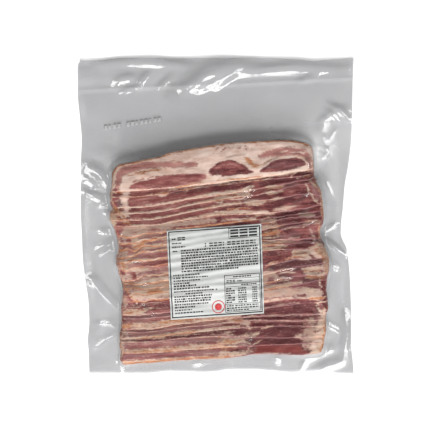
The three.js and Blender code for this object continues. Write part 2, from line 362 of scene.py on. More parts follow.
# How strongly each rim shows its tan skin.
SKIN = [0.8, 0.75, 0.3, 0.3, 0.4, 0.65, 1.0, 1.0, 1.0, 1.0, 0.95, 0.8, 0.75, 0.95, 0.95, 0.95, 0.9]
SKIN += [0.35, 0.35, 0.5, 0.35, 0.35, 0.6, 0.8, 0.7] + [0.6] * 6
STROKES = [
    # the topmost rasher's face
    ("pinkfat", 6, [(150, 172, 30), (200, 165, 44), (260, 158, 40), (300, 156, 30)]),
    ("yellow", 2, [(113, 174, 4), (112.5, 186, 3.5)]),
    ("blush", 1.0, [(118, 190, 5.4), (118.6, 181, 6.4), (119.6, 174, 7.6), (126, 170, 8.4), (136, 167.4, 8), (150, 165, 7), (165, 165, 6), (183, 165, 5.6), (196, 165.2, 4.6)]),
    ("rose", 1.2, [(118.6, 184, 3), (119.6, 175, 3.6), (124, 170.4, 4), (133, 168.2, 4), (146, 165.5, 3.6), (156, 164.6, 2.6)]),
    ("yellow", 1.0, [(114.6, 171.4, 4.6), (113.2, 177, 4.4), (112.8, 184, 4), (113, 190, 3.6)]),
    ("orange", 0.8, [(128, 176, 1), (145, 173.5, 1)]),
    ("brown", 0.6, [(135, 172.6, 0.7), (150, 171.4, 0.9), (160, 170.6, 0.7)]),
    ("orange", 0.7, [(150, 169.7, 0.8), (166, 170, 0.8)]),
    ("lean", 1.0, [(131, 188, 3), (140, 185.6, 6.5), (150, 184.3, 9), (165, 181.6, 12), (180, 180, 11.4), (195, 178.6, 9.4), (204, 176.8, 6)]),
    ("rose", 1.6, [(140, 188, 2.4), (155, 187, 3), (172, 185.6, 3.4), (186, 183, 3)]),
    ("deep", 1.2, [(160, 179.4, 2.5), (170, 177.6, 4), (185, 177.2, 4.5), (200, 176.8, 3.6)]),
    ("red", 0.9, [(132, 187, 1.8), (140, 183.4, 1.8), (150, 181.6, 1.8), (160, 179, 1.6)]),
    ("plum", 0.9, [(213, 172, 8), (220, 169.2, 14), (230, 168.2, 16.5), (240, 169.6, 12.5), (248, 172.6, 6.5), (253, 173, 3)]),
    ("rose", 1.8, [(216, 168.4, 2), (222, 165.2, 3), (230, 163.6, 3.4), (239, 165.6, 2.6)]),
    ("peach", 1.6, [(245, 158.6, 4), (251, 163, 6), (257, 166.8, 4)]),
    ("orange", 1.4, [(249, 162, 1.6), (254, 165.8, 1.6)]),
        ("fat", 0.8, [(240, 160.6, 1.5), (246, 164.4, 1.5), (251, 168.8, 1.6)]),
    ("blush", 1.4, [(260, 157, 4), (270, 154, 7), (280, 152.4, 8.6), (292, 151.6, 8.6), (302, 153.2, 8.6), (308, 158.6, 7), (309.6, 167, 5)]),
    ("rose", 1.6, [(275, 153.6, 3), (288, 151.6, 3), (300, 153, 3)]),
    # painted highlights: glints of the film on the pink streak
    ("painted_highlight", 0.6, [(284, 150.6, 0.8), (292, 151.4, 1), (298, 152.2, 0.8)]),
    ("painted_highlight", 0.6, [(296, 149.6, 0.8), (304, 153.4, 0.9)]),
    ("slate", 0.6, [(260, 171.6, 2.4), (268, 168.8, 7), (275, 166.2, 12.4), (285, 164.6, 13.4), (295, 163.8, 12.6), (301.6, 163.6, 8.6)]),
    ("mauve", 1.6, [(268, 169, 2), (275, 166, 2.4), (284, 163.4, 1.8)]),
    ("mauve", 1.4, [(284, 167.4, 1.6), (293, 166, 1.6)]),
    ("fat", 0.7, [(259, 169.4, 1.4), (266.6, 162.6, 1.6), (278, 158.6, 1.6), (296, 156.6, 1.6), (302, 158.6, 1.6), (306, 163.4, 1.6)]),
    ("orange", 1.0, [(256, 166.6, 1), (264, 163.6, 1.2), (271, 159.6, 1)]),
    ("fat", 1.2, [(210, 179.4, 4.5), (235, 178.8, 4), (252, 176, 4.5), (275, 174.8, 4), (290, 172.6, 4), (305, 168.2, 4.5)]),
    ("pinkfat", 1.2, [(253, 175, 4), (260, 174.6, 4)]),
    # painted highlights: glints of the film on the topmost face
    ("painted_highlight", 0.5, [(198, 157.6, 2.2), (204, 155.2, 3.8), (210.6, 153.4, 3.4)]),
    ("painted_highlight", 0.5, [(189, 159.2, 1.4), (196, 157.2, 1.6)]),
    ("painted_highlight", 0.5, [(216, 153, 1), (225, 149.4, 1)]),
    ("painted_highlight", 0.5, [(241, 152, 1.2), (243.4, 146.8, 1.2)]),
    ("painted_highlight", 0.5, [(246, 158, 1), (248.6, 152, 1.2), (249.4, 146.6, 1)]),
    ("painted_highlight", 0.5, [(233.6, 150, 1), (236, 146, 1)]),
    ("greyfat", 1.4, [(226, 158, 2), (236, 155.6, 2.4), (244, 155, 2)]),
    ("lean", 0.8, [(261, 171.4, 1.4), (275, 170.5, 1.6)]),
    ("orange", 0.7, [(216, 181, 1), (240, 179.4, 1.2), (262, 176.2, 1)]),
    ("orange", 0.8, [(176, 187.6, 1.2), (190, 184.8, 1.4), (204, 182.6, 1.2)]),
    ("orange", 0.9, [(113, 173.4, 1.5), (116, 169, 1.5), (120.4, 165.6, 1.3), (130, 163.6, 1.2), (150, 159.9, 1.2), (158, 158.2, 1.2), (170, 153.8, 1.2), (182, 151.8, 1.3), (200, 148.4, 1.2), (220, 145.2, 1.2), (240, 143.5, 1.1), (260, 142.2, 1.1)]),
    ("brown", 0.8, [(262, 141.9, 1), (280, 141.3, 1), (292, 141.7, 1.1), (302, 143.2, 1.2), (308, 146, 1.4)]),
    # first two rims at the left, and the lean under them
    ("rose", 0.6, [(131, 192.2, 1.3), (150, 191.6, 1.4), (165, 190.4, 1)]),
    ("orange", 0.8, [(118, 192.7, 2.2), (129, 192.7, 2.2)]),
    ("orange", 0.7, [(117, 196, 1.5), (128, 196.3, 1.6)]),
    ("red", 1.0, [(112.5, 189, 2.5), (116, 190.4, 2.6)]),
    ("orange", 0.8, [(150, 195, 1.3), (165, 192.9, 1.6), (180, 190.5, 1.7), (195, 188.2, 1.6)]),
    ("deep", 1.0, [(133, 199, 3), (145, 197.6, 3), (159, 196.4, 3)]),
    ("lean", 1.4, [(132, 203, 6), (150, 202, 8), (175, 198.6, 8), (192, 194.6, 7)]),
    ("pinkfat", 1.0, [(161, 195.4, 3), (166, 195, 3)]),
    ("dark", 1.0, [(170, 193.6, 3), (185, 192, 4), (200, 190.4, 4.4), (210, 189, 4)]),
    ("dark", 1.2, [(203, 188.6, 5), (225, 187.2, 6), (240, 185.8, 6), (252, 183.4, 5)]),
    ("rose", 1.5, [(136, 204, 2.6), (150, 203.6, 2.6)]),
    ("lean", 2.0, [(253, 187, 6), (261, 183, 7)]),
    ("lean", 2.5, [(254, 194, 9), (262, 190, 9)]),
    ("deep", 1.5, [(252, 198, 4), (266, 198, 4)]),
    # painted shadow: the dark gap under the first rims at the right
    ("dark", 1.0, [(262, 183.2, 7), (275, 181, 8), (291, 178.4, 6.5)]),
    ("lean", 1.5, [(285, 189, 8), (296, 188, 10), (300, 196, 8)]),
    ("deep", 1.5, [(296, 190, 4), (304, 188, 5), (303, 194, 6)]),
    # left ends: a column of fat and one of lean run down through the rashers
    ("pinkfat", 2.2, [(127.5, 191, 6), (125.5, 197, 7), (125, 203, 7), (127.5, 210, 6)]),
    ("lean", 1.2, [(118.2, 197, 5.4), (117, 204, 5.4), (114.6, 207, 5)]),
    ("yellow", 1.5, [(112, 190, 3), (111.8, 200, 3)]),
    ("orange", 1.5, [(114.6, 209, 3.6), (118, 215, 4), (122, 221, 3)]),
    ("fat", 2.2, [(121, 214, 5), (129, 215, 4)]),
    ("yellow", 1.6, [(113, 215, 7), (113.5, 223, 6)]),
    ("orange", 0.9, [(118, 219.4, 1.8), (124, 222.4, 2), (129, 224, 2)]),
    ("orange", 0.4, [(113.4, 203, 1.3), (116, 208, 1.5), (120.4, 213.4, 1.4), (126, 219, 1.6), (130.6, 223.2, 1.4)]),
    ("lean", 0.7, [(117, 214.6, 2), (119.4, 217.6, 2.2)]),
    ("orange", 0.4, [(124.6, 205.4, 0.9), (121, 211, 1.1), (117.4, 216.4, 1.1)]),
    ("red", 1.0, [(120.6, 224, 7), (120.4, 230, 8.5), (119.6, 235, 4)]),
    ("red", 1.0, [(115, 228.4, 3.4), (118.6, 234, 4)]),
    ("greyfat", 1.6, [(127, 232, 7), (138, 231, 7), (150, 229.6, 6), (166, 227.6, 4)]),
    ("brown", 0.7, [(136, 232, 0.8), (146, 229, 0.8)]),
    ("lean", 1.2, [(150, 230.6, 2), (163, 228.4, 2)]),
    # shingles from the third rim down to the label
    ("fat", 0.9, [(138, 206.6, 1.4), (150, 205.8, 1.5), (170, 203, 1.6), (185, 199.6, 1.7), (200, 196.4, 2), (222, 193, 3.6), (236, 192.2, 3.4), (247, 188.6, 3), (252, 186.6, 2)]),
    ("lean", 0.7, [(134, 209.4, 2), (150, 208.8, 2.4), (170, 206, 2.4), (185, 203, 2.6), (202, 199, 2.2)]),
    ("brown", 0.5, [(214, 196, 0.7), (230, 195.2, 0.9), (241, 194, 0.9), (248, 190.4, 0.8)]),
    ("brown", 0.5, [(216, 200.4, 0.8), (232, 199.2, 1), (243, 197.6, 1), (251, 192.8, 0.8)]),
    ("fat", 0.7, [(216, 198, 2.4), (232, 197.2, 2.2), (242, 195.8, 2), (249, 191.6, 1.6)]),
    ("fat", 0.8, [(267, 187.2, 3), (275, 186.4, 3.2), (283, 184.8, 2.6)]),
    ("orange", 0.6, [(266, 188.8, 1), (280, 187.4, 1.2), (290, 186, 1)]),
    ("fat", 0.9, [(136, 212.4, 1.3), (150, 211.9, 1.4), (170, 209.3, 1.4), (190, 204.8, 1.6), (205, 201.8, 2), (222, 202, 2)]),
    ("lean", 0.8, [(131, 216, 3), (150, 215.3, 3.2), (170, 212.4, 3.2), (190, 208, 3), (204, 205.4, 3), (214, 203.4, 2)]),
    ("fat", 0.9, [(268, 193.4, 2.8), (275, 192.2, 3.2), (281, 190.8, 2.4)]),
    ("deep", 0.8, [(270, 197, 2), (283, 195, 2.2)]),
    ("fat", 0.9, [(132, 218.8, 1.2), (150, 218.5, 1.3), (170, 215.8, 1.3), (190, 211.4, 1.5), (206, 208.2, 1.8), (224, 205, 2.6), (240, 203, 2)]),
    ("lean", 0.8, [(134, 222, 3.2), (150, 222, 3.4), (165, 220.4, 3.4), (182, 217.4, 3), (196, 214.2, 3), (212, 211, 2.8)]),
    ("dark", 1.0, [(221, 209.6, 2), (235, 207.6, 2.8), (250, 206.2, 3.2), (264, 205.6, 5), (280, 203.2, 7), (293, 199.6, 7), (303, 196.6, 6)]),
    ("greyfat", 0.9, [(247, 202, 3.2), (256, 201.8, 4), (263, 202.4, 3)]),
    ("orange", 0.6, [(247, 204.2, 1.2), (256, 204.5, 1.3), (266, 203.6, 1), (276, 201.6, 1)]),
    ("fat", 0.8, [(275, 199.4, 2.8), (282, 198.4, 2.6)]),
    ("brown", 0.7, [(228, 209.4, 1.2), (240, 208.6, 1.4), (249, 208.4, 1.2)]),
    ("lean", 2.0, [(285, 196, 3), (295, 194, 4)]),
    ("fat", 0.9, [(132, 225, 1.5), (150, 225, 1.6), (165, 223.6, 1.7), (185, 219.6, 2), (200, 216.8, 2.6), (212, 214.6, 3.8), (228, 212, 3.8), (245, 212, 3.2), (253, 212, 2.2)]),
    ("pinkfat", 1.0, [(254, 213, 3.4), (262, 212.5, 5), (272, 214, 2.6)]),
    ("orange", 0.6, [(254, 215.6, 1), (264, 215.8, 1.2), (274, 214.6, 1)]),
    ("deep", 0.7, [(222, 217.8, 2), (232, 216, 2.4), (245, 215.8, 2.2), (254, 215, 1.6)]),
    ("greyfat", 1.0, [(150, 228, 2), (180, 223.8, 3), (200, 221.4, 4), (215, 219.8, 3)]),
    ("pinkfat", 0.8, [(222, 220.6, 1.8), (240, 219, 1.8), (256, 218.4, 1.6)]),
    ("orange", 0.6, [(180, 229.4, 1.2), (193, 227.2, 1.4), (215, 224.6, 1.4), (236, 221.6, 1), (252, 219.6, 1)]),
    ("fat", 0.7, [(275, 209, 1.4), (285, 209.6, 2), (294, 208, 1.4)]),
    ("lean", 1.2, [(279, 213, 2.6), (290, 211.4, 3), (302, 208, 4)]),
    ("dark", 1.0, [(260, 217.8, 3.2), (275, 216.6, 4), (291, 213.8, 4)]),
    ("deep", 1.5, [(300, 203, 5), (312, 205, 6), (318, 208, 4)]),
    ("brown", 0.5, [(133.4, 224.6, 1.6)]),
    ("dark", 0.5, [(133.4, 224.6, 1.2)]),
    # right flap of the upper bundle
    ("lean", 1.5, [(310, 184, 6), (315, 192, 7), (317, 200, 6)]),
    ("fat", 0.8, [(308, 187, 1.6), (311, 194, 1.6), (315, 201, 1.8), (318, 204, 1.4)]),
    ("deep", 1.2, [(308, 198, 5), (313, 202, 3)]),
    ("orange", 1.0, [(316, 181, 1.6), (319.6, 190, 1.6), (321.4, 203, 1.8), (322.6, 218, 1.8)]),
    ("greyfat", 1.0, [(306, 214, 3), (313, 215.6, 3)]),
    ("deep", 1.2, [(296, 220.4, 4), (309, 219, 4), (318, 219, 3)]),
    ("lean", 1.6, [(284, 224.6, 5), (298, 225, 5)]),
    ("fat", 0.9, [(303, 226, 1.4), (308, 222.6, 1.8), (316, 223.4, 2)]),
    ("red", 1.2, [(318, 219, 3.4), (321, 219, 2)]),
    # second bundle, left of the label
    ("fat", 3.0, [(136, 240, 9), (150, 244, 14), (164, 243, 14)]),
    ("orange", 2.0, [(137, 247, 4), (146, 242, 5), (156, 238, 3)]),
    ("mauve", 0.9, [(139, 238.2, 1.6), (150, 236.8, 2), (166, 234.2, 2)]),
    ("mauve", 0.9, [(147, 243.6, 2), (156, 242.4, 3), (167, 240.6, 2.4)]),
    ("lean", 1.2, [(123, 241, 3), (131, 240.4, 2.4)]),
    ("rose", 1.8, [(123, 246, 3), (130, 246, 4), (130, 253, 4)]),
    ("greyfat", 1.0, [(123, 254, 3), (127, 258, 3)]),
    ("mauve", 0.8, [(148, 250, 1.6), (166, 247.4, 2)]),
    ("mauve", 1.4, [(137, 257, 2.6), (150, 255.6, 4.6), (168, 254, 5)]),
    # painted shadow: a dark streak under a rim
    ("deep", 1.0, [(148, 256, 1.6), (158, 255, 2.2), (168, 254.4, 2)]),
    ("fat", 0.6, [(127, 262, 1.2), (140, 260.9, 1.5), (152, 259.2, 1.2), (168, 257.4, 1.2)]),
    ("lean", 1.4, [(136, 264, 3), (150, 263.4, 5.4), (168, 262, 6)]),
    ("rose", 1.0, [(150, 267, 1.6), (160, 266.4, 2.4), (168, 265.4, 1.6)]),
    ("orange", 1.4, [(122, 263, 3), (126, 267, 4)]),
    ("deep", 1.0, [(122, 272, 4), (125, 273.4, 3)]),
    ("fat", 0.8, [(127, 269.4, 2), (138, 269.6, 2.4), (150, 268.8, 1.6)]),
    ("red", 1.0, [(133.6, 273.6, 4), (135.6, 279, 4.6)]),
    ("mauve", 0.9, [(140, 273.4, 2.4), (152, 271.8, 3), (168, 269.8, 3)]),
    ("fat", 1.6, [(138, 285, 7), (150, 284, 9), (168, 280, 9)]),
    ("fat", 1.6, [(134, 294, 7), (150, 293, 9), (168, 290, 9)]),
    ("orange", 1.4, [(150, 292, 4), (160, 290.6, 4)]),
    ("orange", 1.0, [(128, 292, 1.4), (134, 299.4, 1.6)]),
    ("lean", 0.9, [(143, 284.4, 1), (152, 282.6, 1.2)]),
    ("deep", 1.2, [(126.6, 293, 3.4), (129, 298.6, 3.4)]),
    # second bundle, right of the label
    ("greyfat", 1.2, [(262, 221, 3.4), (275, 220, 3.6)]),
    ("fat", 1.0, [(262, 227.4, 3.6), (278, 225.6, 3.4)]),
    ("orange", 0.9, [(262, 235.2, 3), (270, 232.6, 3.4), (280, 230.6, 2.4)]),
    ("brown", 0.6, [(270, 234.2, 1), (280, 233.3, 1)]),
    ("fat", 0.8, [(264, 238.2, 2.2), (275, 236.8, 2.4), (288, 235.4, 2)]),
    ("greyfat", 0.8, [(262, 243.4, 3), (275, 241.4, 3), (289, 240.6, 2)]),
    ("orange", 0.6, [(262, 246.2, 1.2), (273, 243.8, 1.4), (281, 242, 1.2)]),
    ("fat", 0.8, [(262, 249.4, 2.4), (275, 247.4, 2.6), (288, 244.4, 2)]),
    ("lean", 1.6, [(286, 234, 5), (292, 238, 11), (296, 240, 10)]),
    ("lean", 1.6, [(303, 231, 10), (313, 230, 10)]),
    ("red", 1.2, [(309, 236, 4), (316, 236, 6)]),
    ("deep", 1.4, [(292, 229, 3), (303, 228, 4), (314, 227, 4)]),
    ("dark", 0.8, [(298, 247.2, 3.4), (304, 245.2, 6.4), (310, 243, 5.6)]),
    ("yellow", 1.5, [(308, 248.6, 5), (317, 246, 8), (323, 251, 8), (326, 262, 6), (326, 272, 5)]),
    ("pinkfat", 1.5, [(313, 253, 5), (320, 256, 5)]),
    ("deep", 0.9, [(264, 257.4, 6), (275, 255.6, 7), (285, 253.6, 7), (292, 250.6, 4)]),
    ("fat", 0.7, [(292, 252.2, 2), (305, 251, 2.4), (310, 251.6, 1.6)]),
    ("orange", 0.7, [(291, 257, 1.4), (298, 255.6, 2), (306, 254.6, 1.6)]),
    ("greyfat", 0.6, [(298, 259.6, 1.2), (306, 259, 1.4)]),
    ("dark", 1.0, [(264, 264.6, 5), (285, 261.4, 5), (300, 262.8, 6), (320, 261.6, 4.6)]),
    ("orange", 0.5, [(265, 267.4, 0.8), (272, 262.6, 1), (290, 257.6, 1)]),
    ("deep", 1.0, [(285, 270.6, 3), (298, 268.6, 5), (310, 269.6, 4)]),
    ("fat", 0.8, [(302, 273, 1.4), (308, 269.6, 2.4), (316, 268, 3)]),
    ("lean", 1.2, [(281, 274, 3), (292, 274.4, 4), (303, 274, 3)]),
    ("pinkfat", 1.6, [(264, 275, 9), (270, 273.6, 9), (277, 277, 4)]),
    ("lean", 0.8, [(264, 279, 1.6), (272, 276.4, 1.6)]),
    ("lean", 0.9, [(284, 277.6, 2), (300, 276.6, 2.6)]),
    ("orange", 0.7, [(262, 284.4, 1.6), (273, 281.2, 1.8), (281, 279.8, 1.2)]),
    ("fat", 0.9, [(264, 287.6, 3), (280, 285, 3.2), (300, 281.6, 2.8)]),
    ("orange", 0.5, [(262, 289.6, 1.2), (275, 287.4, 1.4), (292, 284.6, 1.2)]),
    ("orange", 1.6, [(309, 276, 4), (316, 275.6, 5), (322, 277, 4)]),
    ("deep", 1.2, [(306, 282, 3.4), (313, 283.4, 6), (319, 286, 4)]),
    # this wide grey band of fat is partly painted shade
    ("greyfat", 1.4, [(264, 294, 8), (285, 291.6, 9), (305, 291.6, 9), (318, 292.6, 7)]),
    ("lean", 1.2, [(297, 295.2, 2), (305, 294.6, 2.4)]),
    ("orange", 1.0, [(310, 298.4, 2), (323, 297.6, 2.4)]),
    ("fat", 0.8, [(264, 301, 1.8), (290, 297.6, 1.8)]),
    # the same side as lumps: muscle over all of it, then what lies on the muscle
    ("lean", 2.5, [(292, 190, 14), (303, 190, 16), (312, 196, 12)]),
    ("lean", 2.5, [(288, 203, 9), (300, 204, 14), (314, 208, 12)]),
    ("lean", 2.5, [(291, 220, 12), (305, 222, 13), (315, 224, 9)]),
    ("lean", 2.0, [(288, 233, 13), (300, 233, 15), (312, 233, 13)]),
    ("lean", 2.0, [(290, 245, 8), (302, 244, 9), (312, 243, 7)]),
    ("mauve", 2.5, [(285, 187, 4), (294, 184.6, 5)]),
    ("deep", 2.0, [(296, 192, 5), (303, 188.6, 7), (309, 194, 5)]),
    ("mauve", 2.0, [(312, 186, 4), (316, 194, 5), (318.5, 200, 3)]),
    ("fat", 0.7, [(304, 184, 1.2), (308, 191, 1.4), (312.5, 198.5, 1.8), (319.6, 204, 1.4)]),
    ("orange", 0.9, [(313, 179, 1.6), (318, 186, 1.8), (320.8, 194, 1.6), (322, 204, 1.6)]),
    ("yellow", 1.0, [(310, 181, 2), (316, 187, 2)]),
    ("deep", 1.6, [(262, 205.6, 4.6), (280, 202.8, 6.6), (292, 199.4, 7), (302, 196, 6)]),
    ("dark", 1.3, [(264, 206.2, 2.2), (280, 203.6, 3), (294, 200, 3)]),
    ("red", 1.6, [(304, 207.6, 5), (311, 207, 6), (317, 209, 5)]),
    ("dark", 1.0, [(303, 203.6, 1.6), (311, 202.6, 1.8), (317, 205, 1.4)]),
    ("pinkfat", 1.0, [(274, 209.6, 2), (284, 208, 2.8), (294, 206.6, 1.8)]),
    ("greyfat", 1.4, [(299, 214.6, 2.6), (306, 215, 3.6), (312, 216.4, 2.4)]),
    ("red", 1.0, [(312, 218.6, 2.6), (321, 218.6, 2.8)]),
    ("deep", 2.0, [(279, 221.6, 5), (290, 220.6, 6), (299, 220, 5)]),
    ("mauve", 1.6, [(281, 224.4, 2.4), (293, 223.6, 2.6)]),
    ("fat", 1.2, [(303, 224.6, 1.6), (309, 222, 2.8), (319, 222.6, 2.8)]),
    ("orange", 0.8, [(305, 220.6, 1.2), (314, 220, 1.4), (320.6, 221, 1.4)]),
    ("red", 2.5, [(287, 230, 3.4), (302, 229.4, 4), (312, 229.8, 3.6)]),
    ("red", 2.2, [(290, 238, 3.4), (303, 238.6, 3.4), (315, 237, 3.4)]),
    ("orange", 0.9, [(318.4, 227, 1.6), (318.8, 234, 1.8), (319, 240, 1.6)]),
    ("dark", 1.0, [(298.6, 245.8, 3.8), (304, 244.8, 6), (309.4, 243.6, 4)]),
    ("fat", 0.7, [(309, 237, 1.0), (314, 241, 1.2), (318.6, 244.6, 1.4), (312, 247.2, 1.2)]),
    ("fat", 1.0, [(292, 250.6, 2), (300, 250.6, 2.4), (309, 251.6, 2.2)]),
    ("orange", 0.7, [(292.6, 252.8, 1.1), (301, 253.2, 1.3), (308, 254.2, 1.3)]),
    ("fat", 0.9, [(293, 255, 1.6), (302, 255.6, 2), (309, 256.8, 1.6)]),
    ("brown", 0.6, [(294, 257, 0.9), (303, 257.6, 1)]),
    ("greyfat", 0.9, [(300, 258.8, 1.6), (308, 259.2, 1.8)]),
    ("yellow", 1.4, [(317, 246.4, 3.6), (321, 250.6, 5), (324.6, 256, 6), (326, 264, 4.6)]),
    ("orange", 1.0, [(314, 249.6, 1.6), (319.6, 254, 1.8), (323, 260, 1.6)]),
    # painted shadow: a dark streak under a rim
    ("dark", 1.2, [(300, 262.8, 3), (310, 262.4, 4.4), (320, 262, 3.8)]),
    ("deep", 1.6, [(279, 265, 5), (290, 264, 7), (300, 266, 5)]),
    ("lean", 1.8, [(279, 272.4, 5), (290, 272, 6), (299, 272, 5)]),
    ("fat", 1.0, [(301, 268.6, 1.8), (308, 267.6, 2.4), (315, 267.6, 2.2), (322, 268.2, 2.6)]),
    ("orange", 0.7, [(303, 270.4, 1.2), (311, 270, 1.4), (319, 270.8, 1.4)]),
    ("fat", 1.2, [(305, 273.6, 2.8), (314, 273.4, 3.6), (323, 274.6, 3.6)]),
    ("orange", 0.9, [(306, 276.8, 1.5), (315, 277, 1.6), (324, 277.6, 1.6)]),
    ("deep", 1.6, [(308, 283.4, 4.4), (314, 284.4, 6), (319, 285, 4.4)]),
    ("fat", 0.7, [(319.8, 277, 1.1), (319.2, 282, 1.2), (320.2, 287, 1.2)]),
    ("fat", 1.2, [(300, 289.6, 2.6), (311, 290, 3.4)]),
    ("greyfat", 1.6, [(264, 283, 3), (266, 276, 6), (272, 274, 5)]),
    ("deep", 1.4, [(284, 227.4, 2), (300, 226.6, 2.6), (312, 227.4, 2)]),
    ("mauve", 1.4, [(285, 232.4, 2), (299, 232.2, 2.4)]),
    ("deep", 1.2, [(288, 236, 2.4), (303, 235.2, 2.2)]),
    ("mauve", 1.2, [(306, 231.6, 1.4), (314, 232.4, 1.6)]),
    ("mauve", 1.6, [(281, 226.4, 4), (290, 225.2, 4.6), (299, 224.6, 3)]),
    ("mauve", 1.6, [(282, 236.4, 3.6), (291, 235.6, 4.6), (300, 233.4, 3)]),
    ("deep", 1.0, [(284, 231.4, 1.6), (294, 230.6, 2)]),
    ("greyfat", 0.8, [(287, 241.6, 1.2), (295, 240.4, 1.2)]),
    ("deep", 1.2, [(303, 241, 3), (310, 239.6, 3)]),
    # painted highlights: white gloss streaks of the film
    ("painted_highlight", 0.3, [(275, 270.4, 1.2), (283, 268.6, 1.6), (294, 268.8, 1.2)]),
    ("painted_highlight", 0.3, [(278, 273.2, 0.9), (286, 271.6, 1.3), (295, 272.4, 0.8)]),
    ("painted_highlight", 0.3, [(274, 279.2, 1.3), (282, 277, 1.8), (291, 278.2, 1.1)]),
    ("painted_highlight", 0.3, [(279, 281, 0.9), (288, 280, 1)]),
    # painted highlights: a curl of glints of the film
    ("painted_highlight", 0.3, [(231, 199.6, 0.8), (241.7, 199, 0.9), (248.3, 194, 0.9), (250.8, 189.4, 0.9), (248.3, 187.2, 0.9), (244, 188.3, 0.8)]),
    ("painted_highlight", 0.3, [(224, 197.5, 0.7), (236.7, 196.7, 0.8), (243.3, 192.5, 0.8), (246.7, 190, 0.8)]),
    ("painted_highlight", 0.3, [(244, 199.8, 0.7), (249, 196.8, 0.9), (252, 194.4, 0.7)]),
    # third bundle, right
    # painted shadow: the dark band under the middle bundle's lower edge, where it steps down
    ("dark", 1.0, [(266, 304.4, 3), (285, 303, 4), (312, 303.6, 5)]),
    ("vein", 0.6, [(266, 308.4, 1.2), (273, 306, 1.4), (284, 304, 1.4), (300, 302.6, 1)]),
    ("lean", 0.9, [(270, 308.6, 2.2), (285, 307.6, 2.6), (300, 307, 2)]),
    ("dark", 0.8, [(264, 312.8, 4.2), (290, 311.2, 4.8), (313, 311, 4)]),
    ("vein", 0.6, [(254, 316.6, 2), (275, 315.2, 2.2), (300, 314.6, 2), (312, 314.6, 2)]),
    ("dark", 0.7, [(262, 319, 2.4), (290, 318, 2.8), (312, 317.6, 2.6)]),
    ("vein", 0.6, [(254, 321.4, 1.8), (280, 320.8, 1.6), (310, 320.4, 1.8)]),
    ("deep", 0.9, [(254, 325.6, 3), (270, 324, 3.6), (290, 323.8, 3.4), (308, 324, 3.2)]),
    ("fat", 0.5, [(257.4, 334, 1.2), (261, 329.4, 1.4), (267, 326.6, 1.5), (273, 325.8, 1.2)]),
    # painted shadow: the very dark gap under a rim
    ("dark", 1.0, [(262, 331.4, 5), (285, 331, 7.4), (306, 330.6, 7)]),
    ("lean", 1.2, [(257, 338, 5), (280, 337, 4.4), (293, 336.8, 4)]),
    ("pinkfat", 1.4, [(295, 335.6, 2.4), (306, 335, 3.4), (314, 333, 4)]),
    ("deep", 1.2, [(262, 341.8, 3), (290, 341.2, 4), (309, 340.6, 4)]),
    ("crimson", 1.0, [(248, 350, 6), (262, 349.2, 9), (280, 348.9, 9.6), (294, 349, 9), (304, 349.4, 7)]),
    ("veil", 3.0, [(309, 322, 8), (306, 335, 10), (306, 346, 8)]),
    ("fat", 2.6, [(319, 303, 4), (320, 312, 5), (320, 320, 5), (318, 329, 7), (316, 338, 9), (315, 346, 10), (314, 350, 8)]),
    ("greyfat", 2.4, [(312, 320, 4), (312, 330, 6), (309, 338, 5)]),
    ("pinkfat", 1.4, [(318, 333, 2), (315, 340, 4), (313, 347, 4)]),
    ("rose", 1.6, [(321, 305, 4), (324, 311, 4), (322, 317, 3)]),
    ("mauve", 1.6, [(313, 309, 3), (318, 316, 3), (316, 324, 3)]),
    ("fat", 0.8, [(324, 310, 4), (323.4, 318, 5), (322.6, 328, 6), (322.4, 336, 6), (320.6, 345, 6), (317.6, 352, 5)]),
    ("greyfat", 0.8, [(321, 322.6, 1.2), (324, 322, 1.2)]),
    ("rose", 0.8, [(314, 331.6, 1), (319, 330.2, 1.2), (323.4, 329.6, 1)]),
    ("greyfat", 0.8, [(313, 340, 1.4), (318, 338.6, 1.6), (323, 338, 1.2)]),
    ("orange", 0.8, [(325, 322, 1.6), (324.6, 334, 1.6), (323, 344, 1.6), (321, 351, 1.8)]),
    ("greyfat", 0.6, [(262, 353.6, 1), (290, 353.4, 1)]),
    # third bundle, left and middle
    # painted shadow: the dark band under the middle bundle's lower edge, where it steps down
    ("dark", 1.2, [(128, 304.6, 4.4), (142, 304.8, 6), (170, 302.6, 6)]),
    ("greyfat", 1.5, [(123.6, 300, 3.4), (123.6, 308, 3.4)]),
    ("yellow", 1.2, [(126, 312, 4), (140, 311.4, 3.6), (148, 309.8, 2)]),
    ("brown", 0.8, [(127, 313, 1.6), (131, 313, 1.4)]),
    ("lean", 1.0, [(148, 312.4, 3), (158, 311.8, 4), (172, 310.6, 4)]),
    ("mauve", 1.8, [(126, 318.4, 5), (145, 317.4, 6), (172, 315.6, 6), (200, 313, 5)]),
    ("peach", 1.6, [(126, 325.6, 5), (145, 325.4, 6), (160, 323.8, 5.4), (176, 320.8, 5), (200, 318.4, 5), (222, 316.2, 5), (240, 314.6, 4)]),
    ("orange", 1.6, [(124, 326.6, 4), (130, 325.4, 2.6)]),
    ("peach", 1.6, [(158, 323, 3.4), (175, 320.8, 3.6), (206, 317.6, 3)]),
    ("orange", 1.4, [(160, 322.6, 1), (175, 320.6, 1.2), (190, 319, 1)]),
    ("mauve", 1.6, [(127, 334, 5), (150, 333, 5.6), (175, 329.4, 5.6), (200, 326.4, 5.4), (220, 324, 5)]),
    ("rose", 1.4, [(150, 331.4, 1.6), (176, 327.6, 1.8), (205, 323.4, 2), (222, 321.4, 2)]),
    ("fat", 1.0, [(126, 339, 2), (150, 336.6, 2.4), (170, 334.4, 2.6), (190, 331.8, 2.6), (210, 329.6, 2.6), (226, 327.6, 2.4), (240, 326, 2)]),
    ("orange", 0.8, [(138, 338.6, 1), (165, 335.4, 1.3), (196, 331.6, 1.3)]),
    # painted shadow: the very dark gap under a rim, across the lower bundle
    ("dark", 0.7, [(138, 340.6, 0.8), (160, 339.6, 2), (180, 337.4, 2.6), (205, 334, 3.4), (224, 332, 4)]),
    ("dark", 1.6, [(214, 331.6, 4), (235, 331.4, 5), (250, 332, 4)]),
